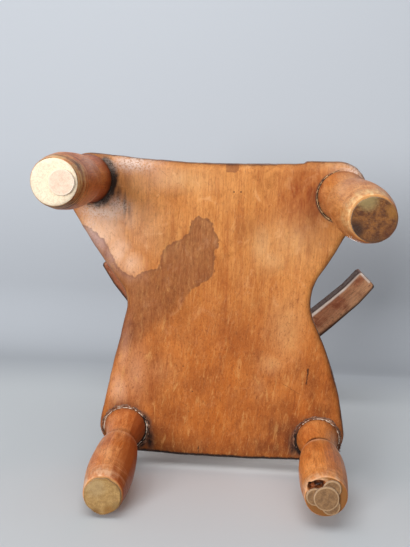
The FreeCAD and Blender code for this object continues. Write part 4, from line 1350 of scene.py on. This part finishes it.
def felt_finish(name, tones, centres, radius, marks=()):
    """Trodden felt: mottled, with the clean cut edge showing at the rim."""
    light, dark, rim = tones
    f = Finish(name)
    blotch = f.noise((0.0055, 0.0055, 0.02), 5.0, 0.7)
    fine = f.noise((0.0009, 0.0009, 0.0009), 2.0)
    tufts = f.noise((0.0022, 0.0022, 0.004), 3.0, 0.7)
    colour = f.lay(light, [
        (blotch, 0.35, 0.66, 1.0, dark),
        (fine, 0.35, 0.7, 0.35, f.mix(0.5, dark, srgb(40, 30, 22))),
        (tufts, 0.52, 0.68, 0.5, dark),
        (tufts, 0.46, 0.32, 0.4, light),
    ])
    flat = f.vector("MULTIPLY", {0: f.place, 1: (1, 1, 0)})
    nearest = f.distance(flat, (centres[0].x, centres[0].y, 0))
    for centre in centres[1:]:
        nearest = f.math("MINIMUM", nearest, f.distance(flat, (centre.x, centre.y, 0)))
    edge = f.plus(nearest, f.times(blotch, 0.002))
    colour = f.lay(colour, [(edge, radius * 0.93, radius * 1.02, 0.6, rim)])
    for across, ahead, reach, strength, tone in marks:
        away = f.distance(flat, (centres[0].x + across * MM, centres[0].y + ahead * MM, 0))
        away = f.plus(away, f.sway(blotch, reach * MM))
        colour = f.lay(colour, [(away, reach * MM, reach * 0.3 * MM, strength, tone)])
    f.bump(fine, 0.4 * MM, 0.7)
    return f.finish(colour, 0.92, Sheen_Weight=0.35, Sheen_Roughness=0.5)


def felt_pad(node, centres, radius, finish, seed, fray):
    """One or more felt discs that stand for a node."""
    low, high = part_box(node)
    points, faces = [], []
    for index, centre in enumerate(centres):
        disc_points, disc_faces = felt_disc(radius, low.z, high.z, seed + index, fray)
        base = sum(len(disc) for disc in points)
        points.append(disc_points + np.array((centre.x, centre.y, 0)))
        faces += [tuple(corner + base for corner in face) for face in disc_faces]
    mesh = bpy.data.meshes.new(f"{node}_felt")
    mesh.from_pydata(np.vstack(points).tolist(), [], faces)
    mesh.shade_smooth()
    piece = add_object(f"{node}_felt", mesh)
    run_tree(piece, *fuzz_tree(finish), {**FIBRES, "Seed": seed})
    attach(piece, "root")
    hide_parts(node)


def felt_pads():
    for seed, name in enumerate(LEGS, 51):
        node = f"{name}_felt_pad"
        low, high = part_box(node)
        middle, radius = (low + high) / 2, (high.x - low.x) / 2
        finish = felt_finish(f"{name}_felt", FELT_TONES[name], [middle], radius, FELT_MARKS.get(name, ()))
        felt_pad(node, [middle], radius, finish, seed, PAD_FRAY.get(name, USUAL_FRAY))
    low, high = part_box("rear_right_felt_pad")
    middle = (low + high) / 2
    centres = []
    for index in range(3):
        angle = SMALL_PAD_TURN + index * 2 * math.pi / 3
        x = middle.x + SMALL_PAD_SPREAD * math.cos(angle)
        y = middle.y + SMALL_PAD_SPREAD * math.sin(angle)
        centres.append(Vector((x, y, 0)))
    finish = felt_finish("small_felt", FELT_TONES["rear_right"], centres, SMALL_PAD_RADIUS)
    felt_pad("rear_right_small_felt_pads", centres, SMALL_PAD_RADIUS, finish, 61, USUAL_FRAY)


# Glue round the roots of the legs

# Light and dark tones of the glues
GLUES = {
    "pale_glue": (srgb(232, 212, 192), srgb(140, 94, 64)),
    "brown_glue": (srgb(138, 96, 70), srgb(64, 38, 26)),
    "yellow_glue": (srgb(220, 176, 122), srgb(70, 38, 22)),
    "black_glue": (srgb(96, 78, 66), srgb(26, 20, 17)),
}
# Rings of glue: leg, name, glue, gap from the root (millimetres), start and sweep (degrees), the bead's
# radius (millimetres), crumbs and seed
GLUE_RINGS = [
    ("rear_left", "pale_glue", "pale_glue", 0.9, 170, 290, 0.7, 40, 3),
    ("rear_left", "thin_glue", "pale_glue", 2.6, 195, 190, 0.45, 60, 13),
    ("rear_left", "brown_glue", "brown_glue", 3.4, 160, 300, 1.2, 50, 4),
    ("rear_right", "pale_glue", "pale_glue", 0.9, 210, 190, 0.7, 40, 5),
    ("rear_right", "thin_glue", "pale_glue", 2.6, 230, 140, 0.45, 60, 15),
    ("rear_right", "brown_glue", "brown_glue", 3.2, 160, 280, 1.2, 50, 6),
    ("front_right", "yellow_glue", "yellow_glue", 1.0, 95, 165, 0.6, 70, 7),
    # Black glue right of the front left root, which also stands in as painted shadow in the gap there
    ("front_left", "black_glue", "black_glue", 0.8, -40, 130, 0.6, 30, 8),
]
GLUE_VOXEL = 0.4 * MM
GLUE_FLATTENING = 0.6
ARC_POINTS = 200
SECTION_POINTS = 10
BEAD_WANDER = 4.5            # this and the crumbs' reach are counted in radii of the bead
CRUMB_REACH = 2.2


def bead_offset(g, bead, seed):
    """How a bead swells, shrinks and wanders along its run."""
    swell = g.add("ShaderNodeTexNoise", {"W": seed, "Scale": 210.0, "Detail": 3.0}, noise_dimensions="4D")
    swell = g.times(g.times(g.minus(swell.outputs[0], 0.52), 3.0), bead)
    outward = g.add("GeometryNodeInputNormal").outputs[0]
    swell = g.vector("SCALE", {0: outward, "Scale": swell})
    wander = g.add("ShaderNodeTexNoise", {"W": seed, "Scale": 130.0, "Detail": 2.0}, noise_dimensions="4D")
    wander = g.vector("SUBTRACT", {0: wander.outputs["Color"], 1: (0.5, 0.5, 0.5)})
    wander = g.vector("SCALE", {0: wander, "Scale": g.times(bead, BEAD_WANDER)})
    return g.vector("ADD", {0: swell, 1: wander})


def glue_tree(material):
    """A bead of hardened glue along an arc, uneven in width, with crumbs beside it."""
    g, identifiers = new_tree("glue_ring", {
        "Radius": "Float", "Start": "Float", "Sweep": "Float", "Bead": "Float",
        "Crumbs": "Int", "Seed": "Int"})
    given = g.add("NodeGroupInput").outputs
    bead, seed = given["Bead"], given["Seed"]
    arc = g.add("GeometryNodeCurveArc", {
        "Resolution": ARC_POINTS, "Radius": given["Radius"], "Start Angle": given["Start"],
        "Sweep Angle": given["Sweep"]}).outputs["Curve"]
    section = g.add("GeometryNodeCurvePrimitiveCircle", {"Resolution": SECTION_POINTS, "Radius": bead})
    tube = g.add("GeometryNodeCurveToMesh", {
        "Curve": arc, "Profile Curve": section.outputs["Curve"], "Fill Caps": True}).outputs["Mesh"]
    tube = g.add("GeometryNodeSetPosition", {
        "Geometry": tube, "Offset": bead_offset(g, bead, seed)}).outputs[0]
    spots = g.add("GeometryNodeCurveToPoints", {"Curve": arc, "Count": given["Crumbs"]}).outputs["Points"]
    corners = []
    for reach in (-CRUMB_REACH, CRUMB_REACH):
        limit = g.times(bead, reach)
        corners.append(g.add("ShaderNodeCombineXYZ", {"X": limit, "Y": limit}).outputs[0])
    drift = random_vector(g, *corners, seed)
    spots = g.add("GeometryNodeSetPosition", {"Geometry": spots, "Offset": drift}).outputs[0]
    ball = g.add("GeometryNodeMeshIcoSphere", {"Radius": bead, "Subdivisions": 2}).outputs["Mesh"]
    scale = random_vector(g, (0.3, 0.3, 0.3), (0.9, 0.9, 0.8), seed)
    crumbs = g.add("GeometryNodeInstanceOnPoints", {"Points": spots, "Instance": ball, "Scale": scale})
    end_tree(g, real(g, join(g, crumbs.outputs[0], tube)), material)
    return g, identifiers


def glue_ring(leg, label, material, gap, start, sweep, bead, crumbs, seed):
    """Glue at a gap from a leg's root, over part of the way round it."""
    middle, radius = leg_root(leg)
    name = f"{leg}_{label}"
    piece = add_object(name, bpy.data.meshes.new(name))
    run_tree(piece, *glue_tree(material), {
        "Radius": radius + gap * MM, "Start": math.radians(start), "Sweep": math.radians(sweep),
        "Bead": bead * MM, "Crumbs": crumbs, "Seed": seed})
    voxel_remesh(piece, GLUE_VOXEL)
    piece.data.materials.clear()
    piece.data.materials.append(material)
    piece.data.transform(Matrix.Translation(middle) @ Matrix.Diagonal((1, 1, GLUE_FLATTENING, 1)))
    piece.data.shade_smooth()
    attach(piece, "root")


def glue_finish(name, pale, dark):
    """Hardened glue, in lumps of two tones."""
    f = Finish(name)
    lumps = f.noise((0.0045, 0.0045, 0.0045), 5.0, 0.75)
    colour = f.lay(dark, [(lumps, 0.4, 0.58, 1.0, pale)])
    f.bump(f.noise((0.0012, 0.0012, 0.0012), 2.0), 0.4 * MM, 0.8)
    return f.finish(colour, 0.6)


def glue_rings():
    finishes = {name: glue_finish(name, *tones) for name, tones in GLUES.items()}
    for leg, label, glue, *sizes in GLUE_RINGS:
        glue_ring(leg, label, finishes[glue], *sizes)


# Wedges and pegs, which keep their CAD shapes


def peg_finish():
    """Worn end grain."""
    f = Finish("peg_wood")
    colour, relief = wood_layers(f, PEG_BROWN, UPRIGHT, 0.3)
    f.bump(relief, 0.2 * MM, 0.5)
    return f.finish(colour, f.share(f.noise((0.004, 0.004, 0.004)), 0.3, 0.7, 0.35, 0.55))


def finish_pegs():
    finish = peg_finish()
    for name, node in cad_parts.items():
        if name.endswith(("_wedge", "_peg")):
            node.data.materials.clear()
            node.data.materials.append(finish)


# Stage

STAGE_HALF_WIDTH = 5.0
SWEEP_TOUCH = (0.2168, 0.484)        # y and z where the sweep's floor passes the lying chair's rail
SWEEP_LEAN = 0.046
SWEEP_LEVELS = (-2.2, -1.0, 0.0, 0.4)
BEND_START = 0.68
BEND_SIZE = 0.14
BEND_STEPS = 16
WALL_TOP = (-4.0, 0.92)
GROUND_LEVEL = -0.0004
# Tones of the floor, of the painted shade where it bends up, and of the wall
SWEEP_TONES = (srgb(213, 218, 222), srgb(187, 192, 199), srgb(203, 208, 215))
GROUND_TONE = srgb(208, 208, 208)
# Painted light: a pale patch on the floor under the seat's rear edge, against the seat's shadow there
UNDER_SEAT_LIGHT_TONE = srgb(250, 250, 250)


def stage_finish(name, floor_tone, horizon_shade_tone, wall_tone):
    """Plain studio paper that shows only from its front and lets light through, with a painted pool of light
    under the seat's rear edge and painted shade at the bend.
    """
    f = Finish(name)
    z = f.axis("Z")
    # Painted light under the seat's rear edge
    painted_light_under_seat = f.times(f.share(z, 0.144, 0.170), f.share(z, 0.25, 0.20))
    # Painted shade: a darker band where the floor bends up into the wall
    tone = f.lay(floor_tone, [(z, 0.45, 0.74, 1.0, horizon_shade_tone)])
    tone = f.lay(tone, [(f.math("ABSOLUTE", f.axis("X")), 0.16, 0.09, 1.0, UNDER_SEAT_LIGHT_TONE)], painted_light_under_seat)
    tone = f.lay(tone, [(f.axis("Y"), 0.16, -0.25, 1.0, wall_tone)])
    paper = f.add("ShaderNodeBsdfDiffuse", {"Color": tone}).outputs["BSDF"]
    clear = f.add("ShaderNodeBsdfTransparent").outputs["BSDF"]
    path = f.add("ShaderNodeLightPath").outputs
    seen = f.math("MAXIMUM", path["Is Camera Ray"], path["Is Glossy Ray"])
    seen = f.math("MAXIMUM", seen, path["Is Transmission Ray"])
    front = f.without(f.add("ShaderNodeNewGeometry").outputs["Backfacing"])
    shown = f.add("ShaderNodeMixShader", {0: f.times(seen, front), 1: clear, 2: paper}).outputs[0]
    f.feed(f.output.inputs["Surface"], shown)
    return f.material


def sheet(name, profile, material):
    """A sheet of paper drawn along X from a profile of y and z."""
    points = [(side * STAGE_HALF_WIDTH, y, z) for y, z in profile for side in (-1, 1)]
    faces = [(2 * k, 2 * k + 1, 2 * k + 3, 2 * k + 2) for k in range(len(profile) - 1)]
    mesh = bpy.data.meshes.new(name)
    mesh.from_pydata(points, [], faces)
    mesh.shade_smooth()
    mesh.materials.append(material)
    return add_object(name, mesh)


def sweep_profile():
    """The floor that the chair lies on, the bend behind it and the wall."""
    profile = [(SWEEP_TOUCH[0] + SWEEP_LEAN * (z - SWEEP_TOUCH[1]), z) for z in (*SWEEP_LEVELS, BEND_START)]
    bend_y, bend_z = profile[-1]
    for step in range(1, BEND_STEPS + 1):
        angle = math.pi / 2 * step / BEND_STEPS
        profile.append((bend_y - BEND_SIZE * (1 - math.cos(angle)), bend_z + BEND_SIZE * math.sin(angle)))
    return profile + [WALL_TOP]


def build_stage():
    sweep = sheet("sweep", sweep_profile(), stage_finish("sweep_paper", *SWEEP_TONES))
    ground_profile = [(-STAGE_HALF_WIDTH, GROUND_LEVEL), (STAGE_HALF_WIDTH, GROUND_LEVEL)]
    ground = sheet("ground", ground_profile, stage_finish("ground_paper", *[GROUND_TONE] * 3))


# The chair


def dress_chair():
    for seed, name in enumerate(LEGS, 1):
        worked_leg(name, seed * 10)
    worked_seat()
    for name, (seed, direction, tones) in ARMS.items():
        worked_arm(name, seed, direction, polish_finish(f"{name}_arm_polish", heading(direction), tones))
    worked_crest(polish_finish("crest_polish", heading(BACK_TURN)))
    upright_polish = polish_finish("upright_polish", UPRIGHT)
    worked_splat(upright_polish)
    for name, seed in (("left", 81), ("right", 91)):
        worked_post(name, seed, upright_polish)
    felt_pads()
    glue_rings()
    finish_pegs()


place_camera()
light_stage()
build_stage()
dress_chair()
